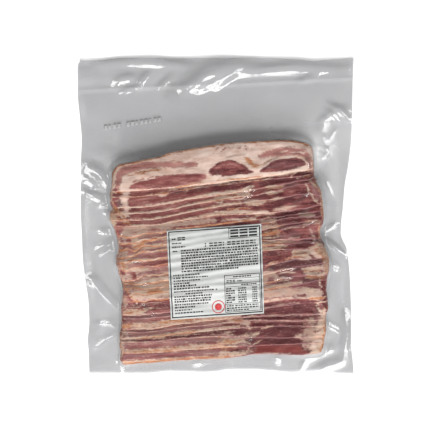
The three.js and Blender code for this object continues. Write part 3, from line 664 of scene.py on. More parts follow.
    ("mauve", 1.6, [(126, 345, 5), (150, 344.4, 6), (175, 342, 6), (200, 339.4, 5.4), (224, 337.4, 5)]),
    ("rose", 1.6, [(130, 345.4, 2), (150, 345.4, 2.6), (170, 343.2, 2)]),
    ("peach", 1.8, [(124, 350.8, 3), (150, 350.4, 3.6), (175, 348.4, 3.6), (200, 346, 3.6), (222, 344.4, 4.6)]),
    ("peach", 1.4, [(128, 351.2, 2.4), (150, 350.8, 2.8), (178, 348.4, 2.8), (206, 345.6, 2.4)]),
    ("orange", 1.2, [(134, 351.6, 0.8), (158, 350.6, 1.2), (176, 349, 1)]),
    ("deep", 1.0, [(128, 346, 1.6), (144, 346.4, 1.8), (160, 345.4, 1.2)]),
    ("deep", 1.0, [(150, 319.4, 1), (172, 317.4, 1.2), (186, 316, 1)]),
    ("mauve", 1.6, [(124, 357, 4), (150, 356, 4.6), (175, 354.4, 4.6), (200, 352.6, 4.6), (226, 351.6, 4.4)]),
    ("red", 1.2, [(128, 357.6, 1.8), (150, 356.6, 2.2), (175, 354.8, 1.8), (196, 353.4, 1.2)]),
    ("peach", 1.0, [(124, 362, 3.4), (150, 360.6, 2.6), (175, 358.4, 2.4), (215, 356.6, 2), (240, 355.4, 2)]),
    ("orange", 0.9, [(126, 363.6, 1.4), (150, 361.4, 1.4), (190, 357.8, 1.3), (230, 356.4, 1.2)]),
    ("veil", 3.0, [(226, 336, 6), (240, 342, 10), (250, 348, 8)]),
    ("fat", 2.0, [(226, 341, 5), (236, 340.4, 5), (246, 336, 4.6), (256, 333.6, 3)]),
    ("peach", 1.6, [(220, 343, 3.4), (232, 341.6, 4.4), (243, 338.4, 3.4)]),
    ("orange", 1.4, [(224, 342.6, 1.4), (233, 341.2, 1.8)]),
    ("pinkfat", 1.4, [(250, 329, 3), (247, 324, 4), (240, 321, 5), (230, 320, 4)]),
    ("peach", 1.6, [(228, 319, 4), (238, 319.6, 5), (247, 322, 4)]),
    ("orange", 1.4, [(233, 319.4, 1.6), (241, 320.6, 1.6)]),
    ("brown", 0.6, [(219, 335.4, 1), (224, 338.6, 1.1), (228, 341, 1)]),
    ("rose", 1.4, [(238, 346.6, 4), (246, 347.4, 5), (253, 346, 4)]),
    ("fat", 0.8, [(245, 352.4, 1.4), (250, 347.6, 1.4), (255, 343, 1.4), (262, 339.4, 1.2)]),
    ("fat", 1.2, [(222, 352.4, 3), (236, 353, 3), (246, 353.6, 2)]),
    ("greyfat", 1.6, [(122.6, 333, 2.6), (122.6, 341, 3), (122.4, 349, 2.6)]),
    ("yellow", 1.0, [(120.6, 338, 1.4), (121.2, 348, 1.6), (121.6, 357, 1.6)]),
    ("fat", 0.6, [(123.6, 329, 1), (127.6, 336, 1.1), (130.4, 340.6, 1)]),
    # painted shade: the dark hollow under the topmost rim at the right, with its skin and fat
    ("dark", 0.8, [(293, 178.4, 3), (298, 175.4, 4), (304, 174, 4.5), (311, 173.6, 4)]),
    ("brown", 0.8, [(303, 176.6, 1.6), (310, 175.8, 1.6)]),
    ("fat", 0.5, [(296, 178.6, 1.2), (301, 177.6, 1.2)]),
    ("brown", 0.8, [(222, 349.6, 1.2), (236, 348.4, 1)]),
    # small things on the topmost rasher's face
    ("rose", 1.2, [(263, 155.6, 2), (272, 152.8, 3.4), (286, 151, 4), (299, 151.8, 3.8), (306, 155.6, 2.6)]),
    # painted highlights: glints of the film on the pink streak
    ("painted_highlight", 0.4, [(279, 152.6, 0.8), (287, 151, 1)]),
    ("painted_highlight", 0.4, [(290, 152.4, 0.8), (300, 152.6, 0.9), (304, 154.4, 0.7)]),
    ("blush", 0.8, [(215.6, 151, 1.2), (219, 148, 1.4)]),
    ("blush", 0.8, [(222, 151.6, 1.1), (225, 148.4, 1.4), (229, 147, 1.1)]),
    ("blush", 0.8, [(237.6, 150, 1), (240.6, 147, 1)]),
    ("blush", 0.8, [(245, 146.4, 1), (247.6, 150.4, 1.2)]),
    ("orange", 1.4, [(245.6, 158.4, 2), (249.6, 161.6, 3.4), (253, 165.8, 2.4)]),
    ("rose", 0.6, [(133.6, 182.4, 1), (137, 181, 1)]),
    ("rose", 0.6, [(139.6, 180.4, 1), (144, 178.8, 1.1)]),
    ("rose", 0.6, [(147.6, 179, 1), (152, 177.4, 1)]),
    ("rose", 0.6, [(155.4, 177.4, 1), (160, 176.2, 1)]),
    ("brown", 0.4, [(173.4, 160.6, 0.8)]),
    ("brown", 0.4, [(184.4, 163.6, 0.8)]),
    # painted shade in the same hollow, with painted highlights at its edge
    ("dark", 0.5, [(292, 179, 1.4), (294, 175.2, 1.8), (298, 173, 2), (303, 172.4, 1.6)]),
    ("deep", 0.6, [(297.6, 176, 2.2), (302, 176.8, 1.8)]),
    ("painted_highlight", 0.3, [(290.6, 178, 0.7), (292.6, 173.8, 0.8), (297, 171.2, 0.8)]),
    # the broad lump right of the label is mottled
    ("fat", 0.5, [(283, 229, 0.9), (294, 227, 1.2), (304, 226.8, 0.8)]),
    ("deep", 0.9, [(285, 233, 2), (297, 231.4, 2.4), (308, 231, 1.6)]),
    ("greyfat", 0.5, [(288, 238.6, 0.9), (299, 236.8, 1.1)]),
    ("deep", 0.9, [(303, 236.6, 2), (313, 235.4, 2)]),
    ("greyfat", 0.5, [(309, 228.4, 0.8), (311.6, 234, 1), (314.6, 239, 0.8)]),
    # where the second bundle's end leaves the third one bare, at the left
    ("mauve", 1.0, [(124.6, 290.4, 2.2), (126.6, 295, 5), (129.4, 300, 7), (131, 303, 5)]),
    ("deep", 1.0, [(127, 293, 1.6), (129, 297.6, 3), (132, 301.4, 3.4)]),
    ("greyfat", 0.8, [(124.4, 299, 2.4), (125.4, 303.4, 3)]),
    ("orange", 0.6, [(118.6, 274, 1.1), (122, 281.4, 1.1), (125, 287, 1.1), (128.6, 292.6, 1.1), (132.8, 298.6, 1), (137.4, 303, 1)]),
]


def tissue(i, x, y):
    """What rasher i is made of at each place: a dict of values by attribute name."""
    u, v = to_u(x), to_v(y)
    rims = at_x(RIM_Y[:N_RIMS], x)
    own = np.interp(x, XS, RIM_Y[i])
    d = (y - own) / K
    j = min(max(i - 1, 0), N_RIMS - 1)
    width = np.maximum((rims[j] - own) / K, 1.5) if i else np.full_like(d, 40.0)
    fat_depth = np.clip(1.1 + 1.4 * noise(x / 21, i * 0.71, 21) + 0.8 * noise(x / 6, i * 1.3, 22), 0.35, np.maximum(0.5 * width, 0.4))
    lean = smooth((d - fat_depth) / 0.9 + 0.5)
    tone = 0.36 + 0.2 * noise(x / 19, i * 0.9, 23) + 0.12 * noise(x / 6, d / 3, 24)
    rind = SKIN[i] * np.exp(-((d / np.where((u < 182) & (i > 5) & (i < 17), 2.1, 1.1)) ** 2)) * np.clip(0.75 + 0.5 * noise(x / 6, i * 2.1, 25), 0, 1) * (0.4 + 0.6 * smooth(fat_depth / 0.9))
    pink = 0.35 + 0.25 * noise(x / 12, i * 1.7, 26)
    dull_and_shade = 0.15 + 0.15 * noise(x / 10, i * 1.1, 27)
    pale = np.clip(0.05 + 0.35 * noise(x / 15, i * 2.3, 37), 0, 1)
    if i == 0:
        top = np.interp(x, XS, TOP_Y)
        lean = np.zeros_like(d)
        # the face is kept pale, partly as painted light on a face that tilts away from the key light
        pale = np.clip(0.72 + 0.3 * noise(x / 16, y / 8, 38), 0, 1)
        edge = np.exp(-(((top - y) / 1.2) ** 2)) * (0.75 + 0.5 * noise(x / 7, 0.3, 28))
        rind = np.maximum(0.6 * np.exp(-((d / 0.8) ** 2)), np.clip(edge, 0, 1))
        pink = 0.55 + 0.2 * noise(x / 14, y / 9, 29)
        dull_and_shade = np.full_like(d, 0.08)
    if 6 <= i <= 16:
        fatty = smooth((178 - u) / 10)
        lean = lean * (1 - 0.5 * fatty)
        tone = tone + 0.3 * fatty
        dull_and_shade = dull_and_shade + 0.25 * fatty
    if i:
        # broken skin and sunken rims near the right end
        lumpy = smooth((u - 262) / 20) * (1.0 if 2 <= i <= 16 else 0.35 * (1 - smooth((u - 303) / 8)) if i > 16 else 0.35)
        torn = np.maximum(smooth((noise(x / 9, i * 1.9, 63) + 0.15) / 0.5), 0.9 * smooth((u - 280) / 12))
        lean = lean + (1 - lean) * lumpy * torn * 0.85
        rind = rind * (1 - 0.8 * lumpy * torn)
    out = dict(lean=lean, tone=tone, rind=rind, pink=pink, dull_and_shade=dull_and_shade, pale=pale)
    # The strokes, with wavering outlines.
    rough = 1.0 if i else 0.5
    wu = u + rough * (1.3 * noise(u / 5, v / 2.6, 31) + 0.7 * noise(u / 2, v / 1.4, 32))
    wv = v + rough * (0.5 * noise(u / 6, v / 2.2, 33) + 0.3 * noise(u / 2.2, v / 1.2, 34))
    for kind, soft, points in STROKES:
        us, vs = [p[0] for p in points], [p[1] for p in points]
        reach = max(p[2] for p in points) / 2 + soft * 1.1 + 2.0
        hit = (
            (wu > min(us) - reach) & (wu < max(us) + reach) & (wv > min(vs) - reach) & (wv < max(vs) + reach)
        )
        if not hit.any():
            continue
        dist, _, w = along(wu[hit], wv[hit], points)
        m = 1 - smooth((dist - w / 2) / (soft * 2.1 + 1.0) + 0.5)
        for key, value in KINDS[kind].items():
            out[key][hit] = out[key][hit] * (1 - m) + value * m
    # Marbling: thin streaks that follow the rims, pale in the muscle and rosy in the fat.
    fx_, fd = x / 16.0 + 0.4 * noise(x / 30, d / 9, 39), d / 1.35
    streak = 0.65 * noise(fx_, fd, 300 + i) + 0.35 * noise(fx_ * 2.3, fd * 1.9, 340 + i)
    other = 0.65 * noise(fx_ * 0.8, fd * 1.1, 380 + i) + 0.35 * noise(fx_ * 2.1, fd * 1.7, 420 + i)
    was = out["lean"].copy()
    rosy = 0.24 if i else 0.05
    out["lean"] = was * (1 - (0.26 - 0.16 * smooth((u - 246) / 14) if i > 16 else 0.26 if i else 0.1) * smooth((streak - 0.15) / 0.5)) + (1 - was) * rosy * smooth((other - 0.1) / 0.5)
    out["tone"] = out["tone"] + 0.22 * noise(x / 8, d / 1.7, 460 + i) + 0.12 * noise(x / 24, d / 4, 500 + i)
    out["pale"] = np.clip(out["pale"] + 0.28 * noise(x / 7, d / 1.9, 540 + i), 0, 1)
    # The lower bundle is made darker, duller and less pale, partly as painted shade that offsets its tilt towards the
    # key light.
    if i >= 17:
        left_half = 1 - smooth((u - 222) / 18)
        fine_ = smooth((noise(x / 22.0 + 0.5 * noise(x / 17, d / 3, 71), d / 0.75, 580 + i) - 0.05) / 0.6)
        out["lean"] = out["lean"] * (1 - 0.34 * left_half * fine_)
        out["tone"] = out["tone"] - 0.04 - 0.22 * (1 - left_half)
        if i > 21:
            out["tone"] = out["tone"] - 0.12
            out["dull_and_shade"] = np.clip(out["dull_and_shade"] + 0.14 * left_half, 0, 1)
        out["pale"] = np.clip(out["pale"] - 0.25 + 0.2 * smooth((u - 306) / 8), 0, 1)
        out["dull_and_shade"] = np.clip(out["dull_and_shade"] + 0.08 * left_half + 0.4 * (1 - left_half) * (1 - smooth((u - 300) / 12)) * (1 - out["lean"]), 0, 1)
    if 1 < i < 17:
        right_end_ = smooth((u - 258) / 16)
        out["tone"] = out["tone"] - (0.12 if i < 6 else 0.22) * right_end_
        if i < 7:
            out["tone"] = out["tone"] + 0.06 * smooth((205 - u) / 12)
        out["pale"] = np.clip(out["pale"] - 0.2 * right_end_, 0, 1)
        out["dull_and_shade"] = np.clip(out["dull_and_shade"] + 0.16 * right_end_, 0, 1)
    # painted shade: the middle bundle's lowest rashers slope towards the key light, so they are made duller and less
    # pale
    if i in (14, 15, 16):
        out["pale"] = np.clip(out["pale"] - 0.25, 0, 1)
        out["dull_and_shade"] = np.clip(out["dull_and_shade"] + 0.3, 0, 1)
    # The skin along each rim stays on top of what was painted, thin and broken.
    if not i:
        out["pale"] = np.clip(out["pale"] - 0.2 * smooth((208 - u) / 24), 0, 1)
        # painted shade: the topmost rasher's rim is made less pale and duller
        out["pale"] = out["pale"] * (1 - 0.7 * np.exp(-((d / 1.2) ** 2)))
        out["dull_and_shade"] = np.clip(out["dull_and_shade"] + 0.45 * np.exp(-((d / 1.2) ** 2)), 0, 1)
    if i:
        tan = smooth((184 - u) / 8) if 5 < i < 17 else 0.0
        thin = np.exp(-((d / (0.65 + 0.45 * tan)) ** 2)) * np.clip(0.55 + 0.25 * tan + 0.5 * noise(x / 5, i * 2.1, 35), 0, 1)
        thin = thin * (1 - 0.92 * lumpy * torn)
        if i > 16:
            thin = thin * (1 - 0.62 * (1 - left_half))
        out["rind"] = np.maximum(out["rind"], SKIN[i] * thin)
        out["lean"] = out["lean"] * (1 - 0.92 * thin)
        # Along each rim's front the tissue turns partly to bare muscle, and is made duller and less pale: painted shade
        # on the rounded fronts that face the key light.
        front = np.exp(-((d / 1.3) ** 2))
        bare = lumpy * torn * 0.5 if i < 17 else 0.5 * (1 - left_half) * (1 - smooth((u - 302) / 9))
        out["lean"] = out["lean"] + (1 - out["lean"]) * front * bare
        out["dull_and_shade"] = np.clip(out["dull_and_shade"] + 0.75 * front * (1 - 0.6 * tan), 0, 1)
        out["pale"] = out["pale"] * (1 - 0.8 * front)
    # Ends of the rashers carry skin too.
    e = end_gap(x, y)
    ends = np.exp(-((e / 1.6) ** 2)) * np.clip(0.5 + 0.5 * noise(y / 3, i * 0.3, 36), 0, 1)
    out["rind"] = np.maximum(out["rind"], 0.7 * ends)
    out["lean"] = out["lean"] * (1 - 0.6 * ends)
    return out


# ---- rashers ----------------------------------------------------------------------------------------
def rasher(i):
    own, back = RIM_Y[i], BACK_Y[i]
    near = RIMS[min(i, N_RIMS - 1)]
    above = RIMS[min(i, N_RIMS - 1) - 1] if i else near - 30
    mid_left = near[0] - min(3.0, (near[0] - above[0]) / 2)
    mid_right = near[-1] - min(3.0, (near[-1] - above[-1]) / 2)
    x_left, x_right = float(to_x(left_end(mid_left))), float(to_x(right_end(mid_right)))
    x_left, x_right = x_left - 4.0, x_right + 4.0
    if i == 0:
        x_left, x_right = float(to_x(111.9)), float(to_x(313.2))
    if i >= N_RIMS:
        x_left, x_right = x_left + 1.5, x_right - 1.5
    # rows across the rasher: close where it shows, wide where it is covered
    shows = 4.0 + float(np.max((RIM_Y[i - 1] - own)[(XS > -100) & (XS < 105)])) if i else 60.0
    if i >= N_RIMS:
        shows = 5.0
    widest = float(np.max(back - own))
    rows, step = [0.0, 0.18, 0.45], 0.45
    while rows[-1] < widest:
        step = 0.8 if rows[-1] < shows else min(step * 1.5, 6.0) if 6 <= i <= 16 else min(step * 1.35, 5.0)
        rows.append(rows[-1] + step)
    q = np.array(rows[:-1] + [widest]) / widest
    n, m = 139 if 6 <= i <= 16 else 151, len(q)
    s = np.linspace(0, 1, n)
    s = s + 0.035 * -np.sin(2 * np.pi * s)  # closer together towards the ends
    S, Q = np.meshgrid(s, q)
    deep = Q * widest
    pull = 0.0 if i == 0 else 1.0
    jag = 0.7 * noise(deep / 5.0, i * 3.7, 41)
    left = x_left + pull * 5.0 * smooth(deep / 26) + jag
    right = x_right - pull * 5.0 * smooth(deep / 26) + 0.7 * noise(deep / 5.0, i * 3.7, 42)
    if i == 0:
        left = x_left + 0.5 * jag + 1.6 * smooth((deep - 18) / 12)
    if i:
        v_left = to_v(np.interp(x_left, XS, own) + deep)
        v_right = to_v(np.interp(x_right, XS, own) + deep)
        left = np.maximum(left, to_x(left_end(v_left)) - 0.4)
        right = np.minimum(right, to_x(right_end(v_right)) + 0.4)
    X = left + (right - left) * S
    low = np.interp(X, XS, own)
    high = np.interp(X, XS, back)
    corner = 3.2
    e = np.clip(np.minimum(X - left, right - X) / corner, 0, 1)
    c = corner * (1 - np.sqrt(np.clip(1 - (1 - e) ** 2, 0, 1)))
    low = low + c * (0.7 if i else 0.5)
    high = high - c * (1.0 if i else 1.6)
    Y = low + Q * (high - low)
    x, y = X.ravel(), Y.ravel()
    top = face_height(i, x, y)
    d = (Y - low).ravel()
    db = (high - Y).ravel()
    de = (np.minimum(X - left, right - X)).ravel()

    def rounded(t, r, amount):
        t = np.clip(t / r, 0, 1)
        return amount * (1 - np.sqrt(1 - (1 - t) ** 2))

    drop = rounded(d, 1.5, 0.8) + rounded(db, 1.6, 1.0) + rounded(de, 1.8, 0.9)
    lift = rounded(d, 1.0, 0.6) + rounded(db, 1.2, 0.6) + rounded(de, 1.2, 0.6)
    k = squeeze(x, y)
    bottom = top - THICK * k + np.minimum(lift, 1.0) * 0.9
    top = top - np.minimum(drop, 1.15)
    top = np.maximum(top, bottom + 0.12)
    shift = np.maximum(0.34 - bottom, 0)
    bottom, top = bottom + shift, top + shift
    verts = np.concatenate([np.stack([x, y, top], 1), np.stack([x, y, bottom], 1)])
    faces = np.concatenate(
        [grid_faces(n, m), grid_faces(n, m, n * m, flip=True), rim_faces(n, m, n * m)]
    )
    t = tissue(i, x, y)
    both = {key: np.concatenate([val, val]) for key, val in t.items()}
    return verts, faces, both


def bundle(name, which):
    """Several rashers, each a closed sheet of its own, as one piece."""
    parts = [rasher(i) for i in which]
    starts = np.cumsum([0] + [len(p[0]) for p in parts[:-1]])
    return make_mesh(
        name,
        np.concatenate([p[0] for p in parts]),
        np.concatenate([p[1] + s for p, s in zip(parts, starts)]),
        {key: np.concatenate([p[2][key] for p in parts]) for key in parts[0][2]},
    )


# ---- the film -----------------------------------------------------------------------------------------
left_cut = curve([57, 67, 91, 115, 139, 163, 211, 235, 259, 283, 307, 325, 343, 355, 375], [77.2, 77, 77, 79, 81, 80, 80, 81, 82, 85, 88, 88.5, 87, 88, 88.5])
right_cut = curve([57, 67, 91, 115, 139, 163, 187, 211, 223, 234, 241, 248, 259, 283, 319, 343, 367, 375], [354.6, 354, 353.4, 353, 352, 349.4, 345.4, 343.4, 342, 341.6, 343.6, 347, 349, 351, 352, 352, 354, 354.6])
top_cut = curve([77, 86, 98, 110, 122, 206, 266, 290, 302, 314, 326, 338, 355], [58.5, 59.6, 59.4, 58, 57.1, 57, 57, 58, 59, 60, 59, 58, 57])
bottom_cut = curve([88, 98, 122, 146, 170, 206, 218, 230, 254, 266, 278, 290, 314, 338, 355], [374, 374, 374, 374, 372, 373, 372, 370.2, 370.2, 371, 372, 373, 372, 374, 374.6])

RIPPLES = [
    # height, half-width, points: creases and puckers of the film
    (1.3, 4.2, [(92, 65), (120, 62), (150, 62.5), (192, 66.5)]),
    (1.0, 3.0, [(112, 86), (120, 80.5), (131, 77)]),
    (0.9, 2.6, [(119, 93.5), (134, 88)]),
    (1.1, 3.0, [(136, 92), (141, 82), (148, 73)]),
    (1.0, 2.8, [(158, 91), (164, 82.5), (172, 76.5)]),
    (4.4, 9.0, [(176, 94), (198, 83), (220, 72), (249, 60.5)]),
    (1.0, 3.4, [(190, 88), (202, 77), (220, 67)]),
    (1.0, 3.0, [(198, 92), (214, 82), (226, 76), (238, 68)]),
    (1.3, 3.2, [(211, 91), (222, 82.5), (237, 72)]),
    (0.9, 5.0, [(258, 70), (300, 65), (347, 71)]),
    (0.8, 3.0, [(298, 83), (321, 72.5)]),
    (0.8, 4.6, [(353, 107), (338, 111), (325, 119), (321, 132), (327, 146)]),
    (1.3, 3.6, [(330, 104), (341, 111), (352, 122)]),
    (1.0, 2.4, [(326, 109.4), (333, 115), (340, 121.6)]),
    (0.4, 1.8, [(330, 140), (334, 132), (339, 127)]),
    (0.9, 2.2, [(320, 121), (327, 118), (332, 114)]),
    (1.2, 2.0, [(313, 147.6), (320, 146), (327, 149), (329, 153), (325, 156.5), (318, 158.5)]),
    (0.9, 1.7, [(314, 151), (321, 152.6), (327, 158)]),
    (0.5, 1.3, [(107.6, 138.8), (109, 140.4)]),
    (0.5, 1.3, [(134.6, 151), (136, 148.6)]),
    (0.4, 1.2, [(149.8, 139), (151.4, 140)]),
    (0.4, 1.2, [(190.6, 144.6), (193, 143.2)]),
    (0.4, 1.2, [(197.4, 141), (199, 142.2)]),
    (0.5, 1.3, [(296, 131), (298, 132.6)]),
    (2.0, 6.2, [(86, 166.5), (98, 174), (111, 187)]),
    (1.5, 4.4, [(82, 176.5), (95, 184.5)]),
    (1.3, 3.8, [(81, 191.5), (105, 200.5)]),
    (0.9, 2.2, [(99, 208), (112, 204.5)]),
    (0.9, 2.2, [(103, 212.5), (111, 218.5)]),
    (0.8, 2.2, [(97, 232), (114, 233.2)]),
    (0.9, 2.2, [(95, 250), (104, 245), (117, 240.6)]),
    (0.9, 2.2, [(100, 257), (117, 246.5)]),
    (1.4, 4.0, [(83, 277.6), (90, 280.6), (96, 285.4)]),
    (0.6, 1.7, [(91, 279), (98, 288.6), (108, 300.6), (119.6, 311.6)]),
    (0.55, 1.5, [(93, 275), (99, 282.6), (109, 294.6), (120.6, 308.6)]),
    (0.8, 2.2, [(91, 324.6), (101, 323.4), (111, 324.4), (117, 329.6)]),
    (0.7, 2.0, [(94, 350), (103, 342.5), (117, 335.6)]),
    (0.8, 2.2, [(117, 359), (122, 373)]),
    (1.0, 3.0, [(194, 366), (207, 360)]),
    (1.0, 2.6, [(275, 352), (279, 365)]),
    (1.7, 4.0, [(301, 373), (306, 360.5), (318, 354), (335, 349)]),
    (1.9, 5.0, [(311, 378), (326, 368), (347, 361)]),
    (1.0, 2.6, [(321, 233), (339, 223)]),
    (1.1, 3.2, [(323, 237), (336, 248), (349, 259)]),
    (0.9, 2.6, [(328, 261), (339, 271)]),
    (1.0, 2.6, [(321, 321), (343, 333.5)]),
    (1.2, 4.0, [(345.5, 311), (348, 335), (345, 353)]),
    (0.4, 2.4, [(325, 178), (333, 196)]),
]


def outline_gap(x, y):
    """Millimetres outside the pile's outline, 0 over the pile."""
    v = to_v(y)
    dx = np.maximum(np.maximum(to_x(left_end(v)) - x, x - to_x(right_end(v))), 0)
    last = np.interp(np.clip(x, to_x(121), to_x(320)), XS, RIM_Y[N_RIMS - 1])
    top = np.interp(np.clip(x, to_x(112), to_x(312)), XS, TOP_Y)
    dy = np.maximum(np.maximum(last - y, y - top), 0)
    return np.hypot(dx, dy)


def meat_height(x, y):
    """Height of whatever rasher is on top, or -1 beside the pile."""
    k = layer(x, y)
    i = np.ceil(k - 1e-6)
    rims = at_x(RIM_Y[:N_RIMS], x)
    own = np.take_along_axis(rims, np.clip(i, 0, N_RIMS - 1).astype(int)[None], 0)[0]
    d = np.clip((y - own) / 1.5, 0, 1)
    z = (envelope(x, y) - (i - k) * PITCH_Z) * squeeze(x, y) - 0.8 * (1 - np.sqrt(1 - (1 - d) ** 2))
    return np.where(outline_gap(x, y) > 0.05, -1.0, z)


EYE = np.array([0.0, 0.0, 1641.0])
SHINES = {
    # boxes of light that show as reflections: place and size in millimetres
    "left": ((-850, 100, 1350), (400, 700)),
    "right": ((850, 100, 1350), (400, 700)),
    "near": ((150, -850, 1350), (1000, 520)),
    "near_left": ((-660, -560, 1350), (420, 420)),
    "near_right": ((700, -540, 1350), (420, 420)),
}


def bright_slope(points):
    """How steep the flank of a crease has to be to throw one of the boxes up at the viewer."""
    a, b = np.array(points[0][:2], float), np.array(points[-1][:2], float)
    c = np.mean([q[:2] for q in points], axis=0)
    here = np.array([float(to_x(c[0])), float(to_y(c[1])), 3.0])
    run = np.array([b[0] - a[0], a[1] - b[1]])
    side = np.array([-run[1], run[0]]) / max(math.hypot(*run), 1e-6)
    best, slope = 0.0, 0.3
    for place, _ in SHINES.values():
        to_light = (np.array(place, float) - here) / np.linalg.norm(np.array(place, float) - here)
        to_eye = (EYE - here) / np.linalg.norm(EYE - here)
        half_way = to_light + to_eye
        tilt = half_way[:2] / half_way[2]
        match = abs(tilt @ side) / np.linalg.norm(tilt)
        if match > best:
            best, slope = match, abs(tilt @ side)
    return float(np.clip(slope, 0.15, 0.42))


def creases(x, y, which):
    u, v = to_u(x), to_v(y)
    out = np.zeros_like(u)
    for height, half, points in which:
        height = (min(height, 0.36 * half) / (0.36 * half)) * bright_slope(points) * half / 0.858 * 1.1
        us, vs = [p[0] for p in points], [p[1] for p in points]
        hit = (u > min(us) - 4 * half) & (u < max(us) + 4 * half) & (v > min(vs) - 4 * half) & (v < max(vs) + 4 * half)
        if not hit.any():
            continue
        dist, t, _ = along(u[hit], v[hit], points)
        taper = np.sqrt(np.clip(np.sin(np.pi * np.clip(t, 0.02, 0.98)), 0, 1))
        out[hit] += height * taper * np.exp(-((dist / half) ** 2))
    return out


GLINTS = [
    # small dents and folds of the film over the meat: height, half-width, points
    (0.35, 1.2, [(262, 167), (269, 161.6), (279, 158)]),
    (0.4, 1.3, [(306, 158), (309, 165), (310, 171)]),
    (0.35, 1.2, [(240, 196), (247, 191.6), (252, 185.6)]),
    (0.35, 1.2, [(243, 201), (250, 196), (254, 190)]),
    (0.35, 1.3, [(292, 205), (302, 199), (309, 194)]),
    (0.35, 1.2, [(300, 213), (309, 209.6)]),
    (0.25, 1.2, [(306, 225), (314, 221), (320, 222)]),
    (0.5, 1.5, [(279, 272), (287, 268.6), (295, 270)]),
    (0.5, 1.5, [(276, 279), (284, 275.4), (291, 277)]),
    (0.35, 1.2, [(268, 270), (274, 267.4)]),
    (0.4, 1.3, [(292, 256), (302, 252.4), (310, 252)]),
    (0.25, 1.2, [(311, 244), (319, 238), (321, 247)]),
    (0.35, 1.2, [(143, 303.4), (148.6, 311)]),
    (0.22, 1.2, [(124.4, 330), (131, 339)]),
    (0.35, 1.2, [(150, 314.6), (156.4, 312.6)]),
    (0.35, 1.3, [(143, 285.6), (150, 282)]),
    (0.4, 1.3, [(133, 262), (142, 263.4)]),
    (0.24, 1.2, [(246, 345), (251, 339), (249, 333)]),
    (0.3, 1.2, [(118, 200), (123, 207)]),
    (0.3, 1.2, [(120, 232), (126, 240)]),
]

rng = np.random.default_rng(7)
PUCKERS = []
for _ in range(44):
    # short puckers that run out from the pile's edge
    side = rng.choice(4, p=[0.36, 0.34, 0.22, 0.08])
    if side < 2:
        v0 = rng.uniform(176, 356)
        u0 = float(left_end(v0)) if side == 0 else float(right_end(v0))
        out_u, out_v = (-1, rng.normal(0, 0.45)) if side == 0 else (1, rng.normal(0, 0.45))
    elif side == 2:
        u0 = rng.uniform(120, 308)
        v0 = float(top_line(u0))
        out_u, out_v = rng.normal(0, 0.5), -1
    else:
        u0 = rng.uniform(126, 318)
        v0 = float(to_v(np.interp(float(to_x(u0)), XS, RIM_Y[N_RIMS - 1])))
        out_u, out_v = rng.normal(0, 0.5), 1
    far = rng.uniform(4, 12)
    norm = math.hypot(out_u, out_v)
    PUCKERS.append(
        (
            rng.uniform(0.12, 0.42),
            rng.uniform(1.1, 2.2),
            [(u0 - out_u / norm * 2, v0 - out_v / norm * 2), (u0 + out_u / norm * far, v0 + out_v / norm * far)],
        )
    )
RIPPLES += PUCKERS


def seal_line(u):
    return np.interp(u, [77, 93, 150, 232, 275, 297, 351], [93.4, 92.2, 89.8, 87.2, 84.4, 83.4, 80.4])


def border_height(x, y):
    """Height of the two films where they lie together beside the pile."""
    u, v = to_u(x), to_v(y)
    d = outline_gap(x, y)
    out = smooth((d - 3) / 26)
    cut = np.minimum(
        np.minimum(x - to_x(left_cut(v)), to_x(right_cut(v)) - x),
        np.minimum(to_y(top_cut(u)) - y, y - to_y(bottom_cut(u))),
    )
    cut = np.maximum(cut, 0)
    z = 0.5 + 1.9 * np.clip((d + cut) / 30.0, 0.25, 1) * smooth(d / 5.0) * (1 - smooth(d / np.minimum(d + cut + 0.01, 40.0)))
    z = z + out * (0.7 * noise(x / 31, y / 27, 51) + 0.2 * noise(x / 14, y / 15, 52) + 0.04 * noise(x / 6, y / 6.5, 53))
    z = 0.35 + np.maximum(z - 0.35, 0) * (0.25 + 0.75 * smooth(cut / 8.0))
    z = z + creases(x, y, RIPPLES) * smooth((d + 1.0) / 4) * smooth((cut + 2.5) / 5.0)
    above = (seal_line(u) - v)
    z = z + 0.22 * np.exp(-((above / 0.9) ** 2)) + 0.22 * np.exp(-(((above - 3.6) / 0.9) ** 2))
    return np.maximum(z, 0.4)


NU, NV = 288, 330


def sheet_plan(n, m):
    a, b = np.meshgrid(np.linspace(0, 1, n), np.linspace(0, 1, m))
    v0 = 375 - b * (375 - 57)
    u = left_cut(v0) + (right_cut(v0) - left_cut(v0)) * a
    v = bottom_cut(u) + (top_cut(u) - bottom_cut(u)) * b
    # a small nick in the upper left corner
    nick = np.exp(-(((u - 77.5) / 2.2) ** 2) - (((v - 60) / 2.6) ** 2))
    return to_x(u + 2.2 * nick), to_y(v)


FX, FY = sheet_plan(NU, NV)
fx, fy = FX.ravel(), FY.ravel()
gap = outline_gap(fx, fy)
over = meat_height(fx, fy)
border = border_height(fx, fy)
CLEAR = 0.22
dents = creases(fx, fy, GLINTS)
floor_z = np.where(over > 0, over + CLEAR + dents, border + 0.06).reshape(FX.shape)
lip = smooth((seal_line(to_u(FX)) - 6 - to_v(FY)) / 9)
floor_z = floor_z + lip * (0.5 + 1.3 * np.abs(noise(FX / 34, FY / 16, 57)))

# the label's corners, and a map from (a, b) across and up it to plan millimetres
LABEL = [(171.0, 319.5), (264.0, 313.0), (261.0, 223.5), (167.0, 230.4)]


def label_place(a, b):
    (u0, v0), (u1, v1), (u2, v2), (u3, v3) = LABEL
    u = (u0 * (1 - a) + u1 * a) * (1 - b) + (u3 * (1 - a) + u2 * a) * b
    v = (v0 * (1 - a) + v1 * a) * (1 - b) + (v3 * (1 - a) + v2 * a) * b
    return to_x(u), to_y(v)


